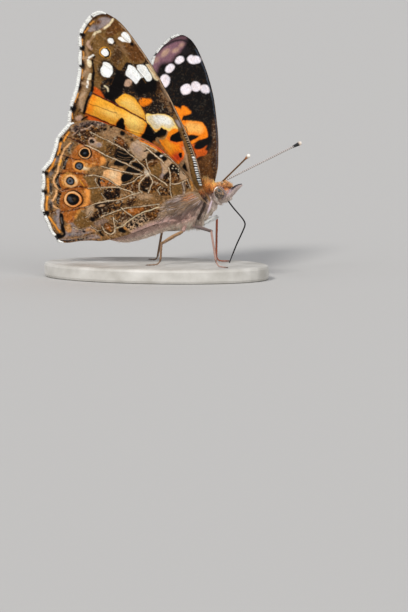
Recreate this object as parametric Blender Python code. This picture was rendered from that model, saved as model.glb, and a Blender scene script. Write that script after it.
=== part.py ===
# Painted lady butterfly, life size, feeding with its wings half closed above its back.
# Sizes below are in millimetres and the meshes are in metres, +Z up. The insect heads
# along +X, so its left side is +Y. The origin is the middle of the base's underside.
import math

import bmesh
import bpy
import numpy as np
from mathutils import Vector
from mathutils.geometry import delaunay_2d_cdt

MM = 0.001
GAP = 0.3
LEFT, RIGHT = 1, -1
SIDES = {"L": LEFT, "R": RIGHT}

# Base plate and the height at which the insect stands on it
BASE_LENGTH = 32.0
BASE_WIDTH = 20.0
BASE_HEIGHT = 2.0
BASE_BEVEL = 0.4
FOOT_LEVEL = BASE_HEIGHT + GAP
HINGE_ABOVE_FEET = 8.9
HINGE_X = 7.5

# Body axis through the wing hinges
PITCH = math.radians(24.0)
HINGE_HALF_WIDTH = 1.63
ORIGIN = Vector((HINGE_X, 0.0, FOOT_LEVEL + HINGE_ABOVE_FEET))
FORWARD = Vector((math.cos(PITCH), 0.0, math.sin(PITCH)))
LEFTWARD = Vector((0.0, 1.0, 0.0))
UPWARD = FORWARD.cross(LEFTWARD)

# Wings: half opening from the midplane, twist about the span, and backward sweep
HALF_OPENING = {LEFT: math.radians(37.0), RIGHT: math.radians(23.0)}
SWEEP = {LEFT: math.radians(2.0), RIGHT: 0.0}
FORE_TWIST = math.radians(5.0)
HIND_TWIST = math.radians(1.5)
WING_THICKNESS = 0.5
VEIN_HEIGHT = 0.1
VEIN_HALF_WIDTH = 0.32
LAYER_STEP = 0.95
CAMBER = 0.5
CAMBER_SPAN = 32.0
ROOT_DIP = 0.9
OUTLINE_STEP = 0.8
VEIN_STEP = 1.4
PLAN_TOLERANCE = 0.06

# Wing outlines, forward and tipward from the hinge, clockwise from the leading root
FORE_OUTLINE = (
    (0.5, -0.7), (0.6, 1.5), (1.7, 4.6), (2.2, 7.0), (2.7, 10.0), (3.1, 14.0), (3.3, 18.0),
    (3.2, 21.5), (2.9, 24.5), (2.5, 27.0), (1.9, 28.7), (1.0, 29.9), (0.0, 30.4), (-1.2, 30.2),
    (-2.7, 29.4), (-3.8, 28.5), (-4.5, 27.2), (-5.5, 25.5), (-6.3, 24.1), (-7.7, 22.3),
    (-8.8, 21.1), (-9.9, 20.1), (-10.7, 19.1), (-11.3, 18.2), (-11.9, 17.2), (-11.6, 15.8),
    (-8.8, 10.6), (-5.8, 5.4), (-3.4, 1.6), (-2.6, -0.7))
HIND_OUTLINE = (
    (-0.3, -1.3), (0.1, 1.0), (0.1, 3.6), (-0.3, 5.8), (-0.9, 8.0), (-1.6, 10.0), (-3.0, 12.1),
    (-4.4, 14.0), (-5.9, 15.6), (-7.4, 17.0), (-9.1, 17.8), (-10.8, 18.1), (-11.7, 17.8),
    (-12.6, 17.4), (-13.5, 17.0), (-14.3, 16.1), (-15.1, 15.3), (-16.0, 14.5), (-17.0, 14.0),
    (-17.9, 13.5), (-18.3, 12.6), (-18.8, 11.7), (-19.5, 10.9), (-19.9, 10.0), (-20.6, 9.0),
    (-21.0, 8.0), (-21.1, 7.0), (-21.2, 6.0), (-21.4, 5.0), (-21.35, 4.2), (-21.3, 3.3),
    (-20.8, 2.7), (-20.0, 2.3), (-18.5, 1.9), (-17.0, 1.3), (-15.6, 0.6), (-13.0, 0.1),
    (-11.2, -0.1), (-8.5, -0.2), (-6.2, -0.5), (-4.6, -1.3))

# Main veins in the same plan, from the root or a fork out past the margin
FORE_VEINS = {
    "radius": ((0.1, 0.3), (1.1, 5.0), (1.9, 8.5), (2.3, 11.5), (2.5, 15.6), (2.6, 20.5), (2.2, 25.0),
               (0.9, 30.4)),
    "cubitus": ((-0.7, 0.3), (-0.3, 4.5), (-0.9, 8.0), (-1.4, 11.0), (-1.5, 13.8)),
    "cell_end": ((-1.5, 13.8), (-0.95, 15.4), (0.6, 15.6), (2.4, 15.0)),
    "media_1": ((2.4, 15.0), (1.2, 20.5), (0.3, 24.3), (-1.4, 27.8), (-2.6, 29.9)),
    "media_2": ((0.6, 15.6), (-0.4, 19.2), (-2.7, 23.4), (-5.7, 26.4)),
    "media_3": ((-0.95, 15.4), (-1.4, 17.6), (-3.7, 20.5), (-7.4, 23.6)),
    "cubitus_1": ((-1.5, 13.8), (-3.0, 16.0), (-4.9, 18.6), (-6.2, 20.2), (-8.4, 22.3)),
    "cubitus_2": ((-1.4, 11.0), (-4.6, 13.7), (-6.0, 15.0), (-8.5, 17.8), (-10.6, 20.2)),
    "anal": ((-1.7, 0.6), (-4.4, 5.0), (-7.6, 10.6), (-12.2, 17.7)),
}
HIND_VEINS = {
    "costa": ((-1.0, 0.4), (-1.2, 3.9), (-2.0, 6.9), (-2.6, 9.0), (-3.6, 11.4), (-5.3, 13.8), (-7.3, 16.0),
              (-9.6, 18.3)),
    "cell_front": ((-1.9, 0.4), (-3.0, 2.6), (-3.5, 4.5), (-4.9, 7.2)),
    "radius": ((-4.9, 7.2), (-5.4, 10.3), (-7.0, 13.3), (-9.0, 16.0), (-10.8, 18.4)),
    "media_1": ((-4.9, 7.2), (-6.5, 9.2), (-8.8, 12.1), (-10.6, 14.5), (-12.8, 17.7)),
    "media_2": ((-4.9, 7.2), (-7.6, 8.6), (-10.0, 10.7), (-12.2, 12.7), (-15.3, 15.6)),
    "cell_back": ((-2.9, 0.4), (-4.6, 2.9), (-6.4, 4.2), (-8.1, 5.4)),
    "media_3": ((-8.1, 5.4), (-9.9, 7.9), (-12.5, 10.3), (-15.0, 11.9), (-18.2, 13.8)),
    "cubitus_1": ((-8.1, 5.4), (-10.5, 7.4), (-13.8, 8.8), (-17.3, 9.8), (-20.2, 11.0)),
    "cubitus_2": ((-8.1, 5.4), (-11.0, 5.4), (-14.0, 6.1), (-18.5, 7.0), (-21.6, 7.8)),
    "anal_1": ((-3.9, 0.4), (-6.5, 2.7), (-9.5, 3.5), (-14.0, 3.9), (-18.5, 3.7), (-22.0, 4.1)),
    "anal_2": ((-4.5, -0.4), (-9.0, 1.1), (-12.6, 1.7), (-16.5, 2.3), (-21.8, 2.9)),
}

# Body sections: forward, up, half width, half height
THORAX = (
    (-4.9, -0.7, 0.7, 0.8), (-4.3, -0.65, 1.35, 1.5), (-3.0, -0.5, 1.8, 2.0), (-1.5, -0.35, 2.0, 2.15),
    (-0.2, -0.15, 1.9, 2.05), (0.7, 0.05, 1.5, 1.65), (1.3, 0.15, 1.0, 1.1))
ABDOMEN = (
    (-4.9, -0.7, 1.0, 1.1), (-6.2, -0.6, 1.35, 1.42), (-8.0, -0.4, 1.5, 1.5), (-10.6, -0.17, 1.46, 1.52),
    (-13.3, 0.15, 1.26, 1.32), (-15.0, 0.66, 0.85, 0.86), (-16.1, 1.02, 0.45, 0.45))
ABDOMEN_RINGS = 8
RING_GROOVE = 0.05
END_BULGE = 0.35
HEAD = (
    (1.35, 0.0, 0.75, 0.85), (1.8, -0.1, 1.05, 1.15), (2.4, -0.2, 1.1, 1.2), (3.0, -0.25, 0.95, 1.0),
    (3.4, -0.3, 0.6, 0.6))
EYE_CENTRE = (2.15, 1.12, -0.25)
EYE_RADII = (0.72, 0.62, 0.88)
PALP = ((2.7, -0.85, 0.32, 0.5), (3.3, -0.68, 0.34, 0.52), (3.9, -0.45, 0.3, 0.42), (4.5, -0.27, 0.25, 0.28),
        (5.1, -0.2, 0.14, 0.15))
PALP_OFFSET = 0.5
ANTENNA_ROOT = (2.6, 0.45, 0.6)
ANTENNA_KNEE = (3.1, 0.5, 1.25)
ANTENNA_BEND = 0.35
ANTENNA_LENGTH = 13.4
ANTENNA_SPLAY = {LEFT: math.radians(44.0), RIGHT: math.radians(53.0)}
ANTENNA_RAISE = {LEFT: math.radians(4.6), RIGHT: math.radians(4.7)}
ANTENNA_RADII = ((0.0, 0.27), (0.1, 0.25), (0.86, 0.25), (0.91, 0.33), (0.96, 0.42), (1.0, 0.28))
PROBOSCIS = ((2.9, 0.0, -0.2), (4.1, 0.0, -1.5), (5.0, 0.0, -2.7), (5.4, 0.0, -3.8), (4.9, 0.0, -5.3),
             (4.1, 0.0, -6.9), (3.4, 0.0, -8.88))
PROBOSCIS_RADII = ((0.0, 0.27), (0.9, 0.25), (1.0, 0.18))

# Folded first pair: forward place and angle round the chest, from hip to toe
FORELEG = ((0.5, -36.0), (0.1, -44.0), (-0.4, -51.0), (-0.9, -57.0), (-1.4, -62.0))
FORELEG_RADII = ((0.0, 0.27), (0.5, 0.3), (1.0, 0.25))

# Walking legs in X, Y, Z from the hinges: hip, knee, ankle and toe, with the foot lying flat
MIDLEG_R = ((-1.6, -0.9, -2.9), (-1.6, -1.2, -3.9), (1.4, -3.0, -4.3), (2.2, -3.9, -7.7),
            (2.7, -4.2, -8.75), (4.3, -4.9, -8.8))
MIDLEG_L = ((-1.5, 0.9, -2.8), (-1.1, 1.2, -3.7), (0.5, 2.7, -2.8), (-0.1, 3.5, -5.2), (0.1, 3.9, -8.6),
            (1.6, 5.0, -8.8))
HINDLEG_R = ((-2.4, -0.8, -3.0), (-3.2, -1.2, -4.6), (-5.8, -2.8, -6.2), (-5.6, -3.8, -8.6),
             (-7.4, -4.6, -8.8))
HINDLEG_L = ((-2.4, 0.8, -3.0), (-3.4, 1.5, -4.5), (-7.4, 2.6, -4.8), (-8.4, 3.7, -8.6),
             (-10.0, 4.6, -8.8))
LEG_RADII = ((0.0, 0.34), (0.25, 0.33), (0.5, 0.3), (0.75, 0.27), (1.0, 0.25))
KNEE_ROUND = 0.5


def body_point(forward, left, up):
    return ORIGIN + FORWARD * forward + LEFTWARD * left + UPWARD * up


def chest_point(forward, side, angle, clearance):
    """A place just off the chest, at an angle round it from level."""
    places, *sizes = zip(*THORAX)
    up, half_width, half_height = (float(np.interp(forward, places, size)) for size in sizes)
    across, rise = math.cos(angle), math.sin(angle)
    lift = Vector((across * half_height, rise * half_width)).normalized() * clearance
    return body_point(forward, side * (half_width * across + lift.x), up + half_height * rise + lift.y)


def mesh_object(name, bm):
    bmesh.ops.recalc_face_normals(bm, faces=bm.faces)
    mesh = bpy.data.meshes.new(name)
    bm.to_mesh(mesh)
    bm.free()
    obj = bpy.data.objects.new(name, mesh)
    PART.objects.link(obj)
    return obj


def resample(points, step):
    """Points at an even step along a smooth curve through the given ones."""
    given = np.array([points[0], *points, points[-1]], float)
    curve = []
    for p0, p1, p2, p3 in zip(given, given[1:], given[2:], given[3:]):
        count = max(1, round(float(np.linalg.norm(p2 - p1)) / step))
        for i in range(count):
            t = i / count
            curve.append(0.5 * (2 * p1 + (p2 - p0) * t + (2 * p0 - 5 * p1 + 4 * p2 - p3) * t * t
                                + (3 * p1 - p0 - 3 * p2 + p3) * t ** 3))
    curve.append(given[-1])
    return np.array(curve)


def profile(table, along):
    """A value read off a short table of (place, value) pairs."""
    places, values = zip(*table)
    return np.interp(along, places, values)


def sweep(name, stations, left=0.0, grow=0.0, step=0.5, sides=16, rings=0):
    """A closed body of oval sections along the body axis, grown all round for a clearance."""
    smooth = resample(stations, step)
    length = np.linspace(0.0, 1.0, len(smooth))
    tangent = np.gradient(smooth[:, :2], axis=0)
    tangent /= np.linalg.norm(tangent, axis=1)[:, None]
    bm = bmesh.new()
    loops = []
    for i, (forward, up, half_width, half_height) in enumerate(smooth):
        groove = 1.0 - RING_GROOVE * math.cos(2 * math.pi * rings * length[i]) ** 8 if rings else 1.0
        along, rise = tangent[i]
        loop = []
        for k in range(sides):
            turn = 2 * math.pi * (k + 0.5) / sides
            across = (half_width * groove + grow) * math.cos(turn)
            height = (half_height * groove + grow) * math.sin(turn)
            place = body_point(forward - rise * height, left + across, up + along * height)
            loop.append(bm.verts.new(place * MM))
        loops.append(loop)
    for first, second in zip(loops, loops[1:]):
        for k in range(sides):
            bm.faces.new((first[k], first[(k + 1) % sides], second[(k + 1) % sides], second[k]))
    for loop, end, way in ((loops[0], 0, -1.0), (loops[-1], -1, 1.0)):
        bulge = way * (END_BULGE * smooth[end][2] + grow)
        pole = bm.verts.new(body_point(smooth[end][0] + bulge * tangent[end][0], left,
                                       smooth[end][1] + bulge * tangent[end][1]) * MM)
        for k in range(sides):
            bm.faces.new((loop[k], loop[(k + 1) % sides], pole))
    return mesh_object(name, bm)


def ellipsoid(name, centre, radii, grow=0.0, segments=20, rings=12):
    bm = bmesh.new()
    bmesh.ops.create_uvsphere(bm, u_segments=segments, v_segments=rings, radius=1.0)
    for vert in bm.verts:
        x, y, z = (vert.co[i] * (radii[i] + grow) for i in range(3))
        vert.co = body_point(centre[0] + x, centre[1] + y, centre[2] + z) * MM
    return mesh_object(name, bm)


def rounded_path(points, radius):
    """A path of straight runs whose corners are rounded."""
    points = [Vector(p) for p in points]
    path = [points[0]]
    for before, corner, after in zip(points, points[1:], points[2:]):
        start = corner + (before - corner).normalized() * radius
        end = corner + (after - corner).normalized() * radius
        for i in range(4):
            t = i / 3
            path.append(start * (1 - t) ** 2 + corner * 2 * t * (1 - t) + end * t * t)
    path.append(points[-1])
    return path


def tube(name, path, radii):
    """A round tube that tapers along a path, given in world millimetres."""
    curve = bpy.data.curves.new(name, "CURVE")
    curve.dimensions = "3D"
    curve.bevel_depth = MM
    curve.bevel_resolution = 2
    curve.use_fill_caps = True
    spline = curve.splines.new("POLY")
    spline.points.add(len(path) - 1)
    steps = [0.0]
    for first, second in zip(path, path[1:]):
        steps.append(steps[-1] + (second - first).length)
    for point, place, step in zip(spline.points, path, steps):
        point.co = (*(place * MM), 1.0)
        point.radius = float(profile(radii, step / steps[-1]))
    guide = bpy.data.objects.new(name + "_path", curve)
    PART.objects.link(guide)
    mesh = bpy.data.meshes.new_from_object(guide.evaluated_get(bpy.context.evaluated_depsgraph_get()))
    bpy.data.objects.remove(guide)
    bm = bmesh.new()
    bm.from_mesh(mesh)
    bpy.data.meshes.remove(mesh)
    bmesh.ops.remove_doubles(bm, verts=bm.verts, dist=0.01 * MM)
    return mesh_object(name, bm)


def largest_surface(obj):
    """Keeps the largest closed surface of a mesh and drops loose scraps."""
    bm = bmesh.new()
    bm.from_mesh(obj.data)
    left = set(bm.verts)
    surfaces = []
    while left:
        reached = {left.pop()}
        front = list(reached)
        while front:
            vert = front.pop()
            for edge in vert.link_edges:
                other = edge.other_vert(vert)
                if other in left:
                    left.discard(other)
                    reached.add(other)
                    front.append(other)
        surfaces.append(reached)
    largest = max(surfaces, key=len)
    bmesh.ops.delete(bm, geom=[v for v in bm.verts if v not in largest], context="VERTS")
    bm.to_mesh(obj.data)
    bm.free()


def cut_clear(obj, *cutters):
    """Cuts an object back from the grown copies of its neighbours."""
    for cutter in cutters:
        cutter.hide_render = True
        cutter.display_type = "WIRE"
        modifier = obj.modifiers.new("clear", "BOOLEAN")
        modifier.object = cutter
        modifier.operation = "DIFFERENCE"
        modifier.solver = "EXACT"
    bpy.context.view_layer.update()
    mesh = bpy.data.meshes.new_from_object(obj.evaluated_get(bpy.context.evaluated_depsgraph_get()))
    obj.modifiers.clear()
    obj.data = mesh
    largest_surface(obj)


def wing_axes(side, twist):
    """Origin and axes of a wing's plan: forward, tipward and outward."""
    opening, sweep_back = HALF_OPENING[side], SWEEP[side]
    outer = LEFTWARD * side
    span = UPWARD * math.cos(opening) + outer * math.sin(opening)
    face = outer * math.cos(opening) - UPWARD * math.sin(opening)
    chord = FORWARD * math.cos(twist) + face * math.sin(twist)
    outward = face * math.cos(twist) - FORWARD * math.sin(twist)
    tipward = span * math.cos(sweep_back) - chord * math.sin(sweep_back)
    forward = chord * math.cos(sweep_back) + span * math.sin(sweep_back)
    return ORIGIN + outer * HINGE_HALF_WIDTH, forward, tipward, outward


def smooth_step(value, low, high):
    t = np.clip((value - low) / (high - low), 0.0, 1.0)
    return t * t * (3 - 2 * t)


def fore_lift(plan):
    """Gentle camber along the span."""
    return CAMBER * np.sin(math.pi * np.clip(plan[:, 1] / CAMBER_SPAN, 0.0, 1.0))


def hind_lift(plan):
    """The layer over the forewing, which dips to its root on the thorax."""
    forward, tipward = plan.T
    dip = smooth_step(tipward, 0.8, -1.3) * smooth_step(forward, -6.5, -4.0)
    return fore_lift(plan) + LAYER_STEP - ROOT_DIP * dip


def distance_to_lines(plan, lines):
    nearest = np.full(len(plan), np.inf)
    for line in lines:
        for start, end in zip(line, line[1:]):
            run = end - start
            t = np.clip((plan - start) @ run / (run @ run), 0.0, 1.0)
            nearest = np.minimum(nearest, np.linalg.norm(plan - start - t[:, None] * run, axis=1))
    return nearest


def wing(name, side, outline, veins, twist, lift):
    """A membrane whose main veins stand up as ridges in its own two faces."""
    margin = resample(outline, OUTLINE_STEP)
    lines = [resample(vein, VEIN_STEP) for vein in veins.values()]
    points = [Vector(p) for p in margin]
    edges = []
    for line in lines:
        run = np.gradient(line, axis=0)
        across = np.stack([-run[:, 1], run[:, 0]], 1) / np.linalg.norm(run, axis=1)[:, None]
        for offset in (0.0, VEIN_HALF_WIDTH, -VEIN_HALF_WIDTH):
            start = len(points)
            points += [Vector(p) for p in line + across * offset]
            edges += [(i, i + 1) for i in range(start, len(points) - 1)]
    flat, _, triangles, *_ = delaunay_2d_cdt(points, edges, [list(range(len(margin)))], 1,
                                                   PLAN_TOLERANCE)
    plan = np.array([tuple(p) for p in flat])
    ridge = VEIN_HEIGHT * np.clip(1.0 - distance_to_lines(plan, lines) / VEIN_HALF_WIDTH, 0.0, 1.0)
    middle = lift(plan)
    origin, forward, tipward, outward = wing_axes(side, twist)
    bm = bmesh.new()
    faces = []
    for way in (1.0, -1.0):
        height = middle + way * (WING_THICKNESS / 2 + ridge)
        faces.append([bm.verts.new((origin + forward * a + tipward * b + outward * h) * MM)
                      for (a, b), h in zip(plan, height)])
    outer, inner = faces
    used = {}
    for triangle in triangles:
        bm.faces.new([outer[i] for i in triangle])
        bm.faces.new([inner[i] for i in reversed(triangle)])
        for first, second in zip(triangle, (*triangle[1:], triangle[0])):
            used[(first, second)] = True
    for first, second in used:
        if (second, first) not in used:
            bm.faces.new((outer[second], outer[first], inner[first], inner[second]))
    bmesh.ops.delete(bm, geom=[v for v in bm.verts if not v.link_faces], context="VERTS")
    bmesh.ops.triangulate(bm, faces=[f for f in bm.faces if len(f.verts) > 3])
    return mesh_object(name, bm)


def leg(name, joints, radii):
    """A jointed leg whose lowest side is cut to a small flat at the feet's level."""
    path = rounded_path([ORIGIN + Vector(p) for p in joints], KNEE_ROUND)
    obj = tube(name, path, radii)
    bm = bmesh.new()
    bm.from_mesh(obj.data)
    geometry = [*bm.verts, *bm.edges, *bm.faces]
    cut = bmesh.ops.bisect_plane(bm, geom=geometry, plane_co=(0, 0, FOOT_LEVEL * MM), plane_no=(0, 0, 1),
                                 dist=0.001 * MM, clear_inner=True)
    rim = [item for item in cut["geom_cut"] if isinstance(item, bmesh.types.BMEdge)]
    if rim:
        bmesh.ops.holes_fill(bm, edges=rim)
    bmesh.ops.recalc_face_normals(bm, faces=bm.faces)
    bm.to_mesh(obj.data)
    bm.free()
    return obj


def antenna(name, side):
    """A straight shaft with a club at its end, splayed from a short upright base on the brow."""
    splay, rise = ANTENNA_SPLAY[side], ANTENNA_RAISE[side]
    way = FORWARD * math.cos(splay) + LEFTWARD * side * math.sin(splay)
    way = way * math.cos(rise) + UPWARD * math.sin(rise)
    root, knee = (body_point(forward, side * left, up) for forward, left, up in (ANTENNA_ROOT, ANTENNA_KNEE))
    base = rounded_path([root, knee, knee + way], ANTENNA_BEND)
    shaft = [knee + way * ANTENNA_LENGTH * t for t in (0.2, 0.4, 0.6, 0.8, 0.86, 0.9, 0.93, 0.96, 0.98, 1.0)]
    return tube(name, base + shaft, ANTENNA_RADII)


def base_plate():
    bm = bmesh.new()
    bmesh.ops.create_cone(bm, cap_ends=True, segments=48, radius1=0.5, radius2=0.5, depth=1.0)
    for vert in bm.verts:
        x, y, z = vert.co
        vert.co = Vector((x * BASE_LENGTH, y * BASE_WIDTH, (z + 0.5) * BASE_HEIGHT)) * MM
    rims = [e for e in bm.edges if abs(e.verts[0].co.z - e.verts[1].co.z) < 0.01 * MM]
    bmesh.ops.bevel(bm, geom=rims, offset=BASE_BEVEL * MM, segments=2, affect="EDGES", profile=0.5)
    return mesh_object("stand_base", bm)


def paint(obj, colour, roughness):
    material = bpy.data.materials.new(obj.name)
    material.use_nodes = True
    shader = material.node_tree.nodes["Principled BSDF"]
    shader.inputs["Base Color"].default_value = (*colour, 1.0)
    shader.inputs["Roughness"].default_value = roughness
    shader.inputs["Metallic"].default_value = 0.0
    obj.data.materials.clear()
    obj.data.materials.append(material)
    obj.data.shade_smooth()
    obj.data.set_sharp_from_angle(angle=math.radians(35.0))


for old in list(bpy.data.objects):
    bpy.data.objects.remove(old)
PART = bpy.data.collections.new("painted_lady_butterfly")
bpy.context.scene.collection.children.link(PART)

# Trunk of the body
thorax = sweep("thorax", THORAX)
abdomen = sweep("abdomen", ABDOMEN, rings=ABDOMEN_RINGS, step=0.42)
head = sweep("head", HEAD, step=0.35)
thorax_space = sweep("thorax_space", THORAX, grow=GAP)
abdomen_space = sweep("abdomen_space", ABDOMEN, grow=GAP)
head_space = sweep("head_space", HEAD, grow=GAP, step=0.35)
eye_spaces = []
for letter, side in SIDES.items():
    centre = (EYE_CENTRE[0], side * EYE_CENTRE[1], EYE_CENTRE[2])
    paint(ellipsoid(f"eye_{letter}", centre, EYE_RADII), (0.16, 0.12, 0.08), 0.25)
    eye_spaces.append(ellipsoid(f"eye_space_{letter}", centre, EYE_RADII, grow=GAP))
cut_clear(abdomen, thorax_space)
cut_clear(head, thorax_space, *eye_spaces)
paint(thorax, (0.42, 0.3, 0.22), 0.8)
paint(abdomen, (0.55, 0.45, 0.38), 0.8)
paint(head, (0.5, 0.32, 0.18), 0.8)

# Feelers and mouthparts
for letter, side in SIDES.items():
    feeler = antenna(f"antenna_{letter}", side)
    cut_clear(feeler, head_space, eye_spaces[side < 0])
    paint(feeler, (0.3, 0.28, 0.26), 0.5)
    palp = sweep(f"palp_{letter}", PALP, left=side * PALP_OFFSET, step=0.45, sides=12)
    cut_clear(palp, head_space, eye_spaces[side < 0])
    paint(palp, (0.6, 0.5, 0.5), 0.8)
tongue_route = [ORIGIN + Vector(p) for p in resample(PROBOSCIS, 0.6)]
tongue = tube("proboscis", tongue_route, PROBOSCIS_RADII)
cut_clear(tongue, head_space)
paint(tongue, (0.05, 0.045, 0.04), 0.4)

# Wings
for letter, side in SIDES.items():
    fore = wing(f"forewing_{letter}", side, FORE_OUTLINE, FORE_VEINS, FORE_TWIST, fore_lift)
    cut_clear(fore, thorax_space)
    paint(fore, (0.62, 0.28, 0.07), 0.7)
    hind = wing(f"hindwing_{letter}", side, HIND_OUTLINE, HIND_VEINS, HIND_TWIST, hind_lift)
    cut_clear(hind, thorax_space, abdomen_space)
    paint(hind, (0.38, 0.24, 0.12), 0.7)

# Legs: the first pair is short and folded against the chest
for letter, side in SIDES.items():
    clearance = GAP + FORELEG_RADII[1][1]
    folded = [chest_point(forward, side, math.radians(angle), clearance) for forward, angle in FORELEG]
    paint(tube(f"foreleg_{letter}", folded, FORELEG_RADII), (0.55, 0.45, 0.42), 0.8)
for name, joints in (("midleg_L", MIDLEG_L), ("midleg_R", MIDLEG_R), ("hindleg_L", HINDLEG_L),
                     ("hindleg_R", HINDLEG_R)):
    limb = leg(name, joints, LEG_RADII)
    cut_clear(limb, thorax_space, abdomen_space)
    paint(limb, (0.5, 0.42, 0.4), 0.7)

for space in (thorax_space, abdomen_space, head_space, *eye_spaces):
    bpy.data.objects.remove(space)
paint(base_plate(), (0.75, 0.72, 0.66), 0.6)
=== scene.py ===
# Painted lady butterfly, life size, with its wings half closed above its back.
# Looks only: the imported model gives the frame. Sizes are in millimetres until meshes are made.
import math

import bmesh
import bpy
import numpy as np
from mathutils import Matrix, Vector
from mathutils.geometry import delaunay_2d_cdt


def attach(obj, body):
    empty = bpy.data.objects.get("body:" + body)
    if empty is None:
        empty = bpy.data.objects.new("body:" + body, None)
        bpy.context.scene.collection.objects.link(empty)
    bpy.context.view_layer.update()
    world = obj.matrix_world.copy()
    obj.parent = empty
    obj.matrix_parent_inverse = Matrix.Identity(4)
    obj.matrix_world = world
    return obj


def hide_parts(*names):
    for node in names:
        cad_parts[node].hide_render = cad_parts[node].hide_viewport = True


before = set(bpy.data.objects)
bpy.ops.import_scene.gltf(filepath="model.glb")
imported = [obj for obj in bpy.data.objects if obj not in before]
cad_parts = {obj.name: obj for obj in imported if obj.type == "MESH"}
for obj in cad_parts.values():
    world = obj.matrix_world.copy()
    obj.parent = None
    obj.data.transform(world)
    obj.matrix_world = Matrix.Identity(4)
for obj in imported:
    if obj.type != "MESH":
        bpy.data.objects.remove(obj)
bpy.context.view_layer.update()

MM = 0.001
LEFT, RIGHT = 1, -1
SIDES = {"L": LEFT, "R": RIGHT}

# The insect's frame, as in the solids: the middle between the wing hinges and the body axis
HINGE = np.array((7.5, 0.0, 11.2))
PITCH = math.radians(24.0)
FORWARD = np.array((math.cos(PITCH), 0.0, math.sin(PITCH)))
LEFTWARD = np.array((0.0, 1.0, 0.0))
UPWARD = np.cross(FORWARD, LEFTWARD)
HINGE_HALF_WIDTH = 1.63

# Wings: half opening from the midplane, twist about the span, and backward sweep. The left hindwing is
# swept less than its solid, so its rear edge lies about a millimetre higher.
HALF_OPENING = {LEFT: math.radians(37.0), RIGHT: math.radians(23.0)}
SWEEP = {LEFT: math.radians(2.0), RIGHT: 0.0}
HIND_SWEEP = {LEFT: math.radians(-1.2), RIGHT: 0.0}
FORE_TWIST = math.radians(5.0)
HIND_TWIST = math.radians(1.5)
LAYER_STEP = 0.95
CAMBER = 0.5
CAMBER_SPAN = 32.0
ROOT_DIP = 0.9

# Photograph: 408 by 612 pixels, and where the middle of the hinges lies in it
PHOTO_WIDTH, PHOTO_HEIGHT = 408, 612
HINGE_PIXEL = (207.84, 197.9)
PIXELS_PER_MM = 7.27
CAMERA_AZIMUTH = math.radians(17.0)
CAMERA_ELEVATION = math.radians(4.0)
CAMERA_DISTANCE = 500.0
SENSOR = 36.0

# Wing membranes
LATTICE = 0.085
SKIN_HALF = 0.06
EDGE_HALF = 0.02
RIDGE_HEIGHT = 0.055
RIDGE_WIDTH = 0.085
PLEAT_DEPTH = 0.1
PLEAT_REACH = 1.3

FORE_OUTLINE = (
    (0.5, -0.7), (0.6, 1.5), (1.7, 4.6), (2.2, 7.0), (2.7, 10.0), (3.1, 14.0), (3.3, 18.0),
    (3.2, 21.5), (2.9, 24.5), (2.5, 27.0), (1.9, 28.7), (1.0, 29.9), (0.0, 30.4), (-1.2, 30.2),
    (-2.7, 29.4), (-3.8, 28.5), (-4.5, 27.2), (-5.5, 25.5), (-6.3, 24.1), (-7.7, 22.3),
    (-8.8, 21.1), (-9.9, 20.1), (-10.7, 19.1), (-11.3, 18.2), (-11.9, 17.2), (-11.6, 15.8),
    (-8.8, 10.6), (-5.8, 5.4), (-3.4, 1.6), (-2.6, -0.7))
HIND_OUTLINE = (
    (-0.3, -1.3), (0.1, 1.0), (0.1, 3.6), (-0.3, 5.8), (-0.9, 8.0), (-1.6, 10.0), (-3.0, 12.1),
    (-4.4, 14.0), (-5.9, 15.6), (-7.4, 17.0), (-9.1, 17.8), (-10.8, 18.1), (-11.7, 17.8),
    (-12.6, 17.4), (-13.5, 17.0), (-14.3, 16.1), (-15.1, 15.3), (-16.0, 14.5), (-17.0, 14.0),
    (-17.9, 13.5), (-18.3, 12.6), (-18.8, 11.7), (-19.5, 10.9), (-19.9, 10.0), (-20.6, 9.0),
    (-21.0, 8.0), (-21.1, 7.0), (-21.2, 6.0), (-21.4, 5.0), (-21.35, 4.2), (-21.3, 3.3),
    (-20.8, 2.7), (-20.0, 2.3), (-18.5, 1.9), (-17.0, 1.3), (-15.6, 0.6), (-13.0, 0.1),
    (-11.2, -0.1), (-8.5, -0.2), (-6.2, -0.5), (-4.6, -1.3))
FORE_VEINS = {
    "radius": ((0.1, 0.3), (1.1, 5.0), (1.9, 8.5), (2.3, 11.5), (2.5, 15.6), (2.6, 20.5), (2.2, 25.0),
               (0.9, 30.4)),
    "cubitus": ((-0.7, 0.3), (-0.3, 4.5), (-0.9, 8.0), (-1.4, 11.0), (-1.5, 13.8)),
    "cell_end": ((-1.5, 13.8), (-0.95, 15.4), (0.6, 15.6), (2.4, 15.0)),
    "media_1": ((2.4, 15.0), (1.2, 20.5), (0.3, 24.3), (-1.4, 27.8), (-2.6, 29.9)),
    "media_2": ((0.6, 15.6), (-0.4, 19.2), (-2.7, 23.4), (-5.7, 26.4)),
    "media_3": ((-0.95, 15.4), (-1.4, 17.6), (-3.7, 20.5), (-7.4, 23.6)),
    "cubitus_1": ((-1.5, 13.8), (-3.0, 16.0), (-4.9, 18.6), (-6.2, 20.2), (-8.4, 22.3)),
    "cubitus_2": ((-1.4, 11.0), (-4.6, 13.7), (-6.0, 15.0), (-8.5, 17.8), (-10.6, 20.2)),
    "anal": ((-1.7, 0.6), (-4.4, 5.0), (-7.6, 10.6), (-12.2, 17.7)),
}
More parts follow.
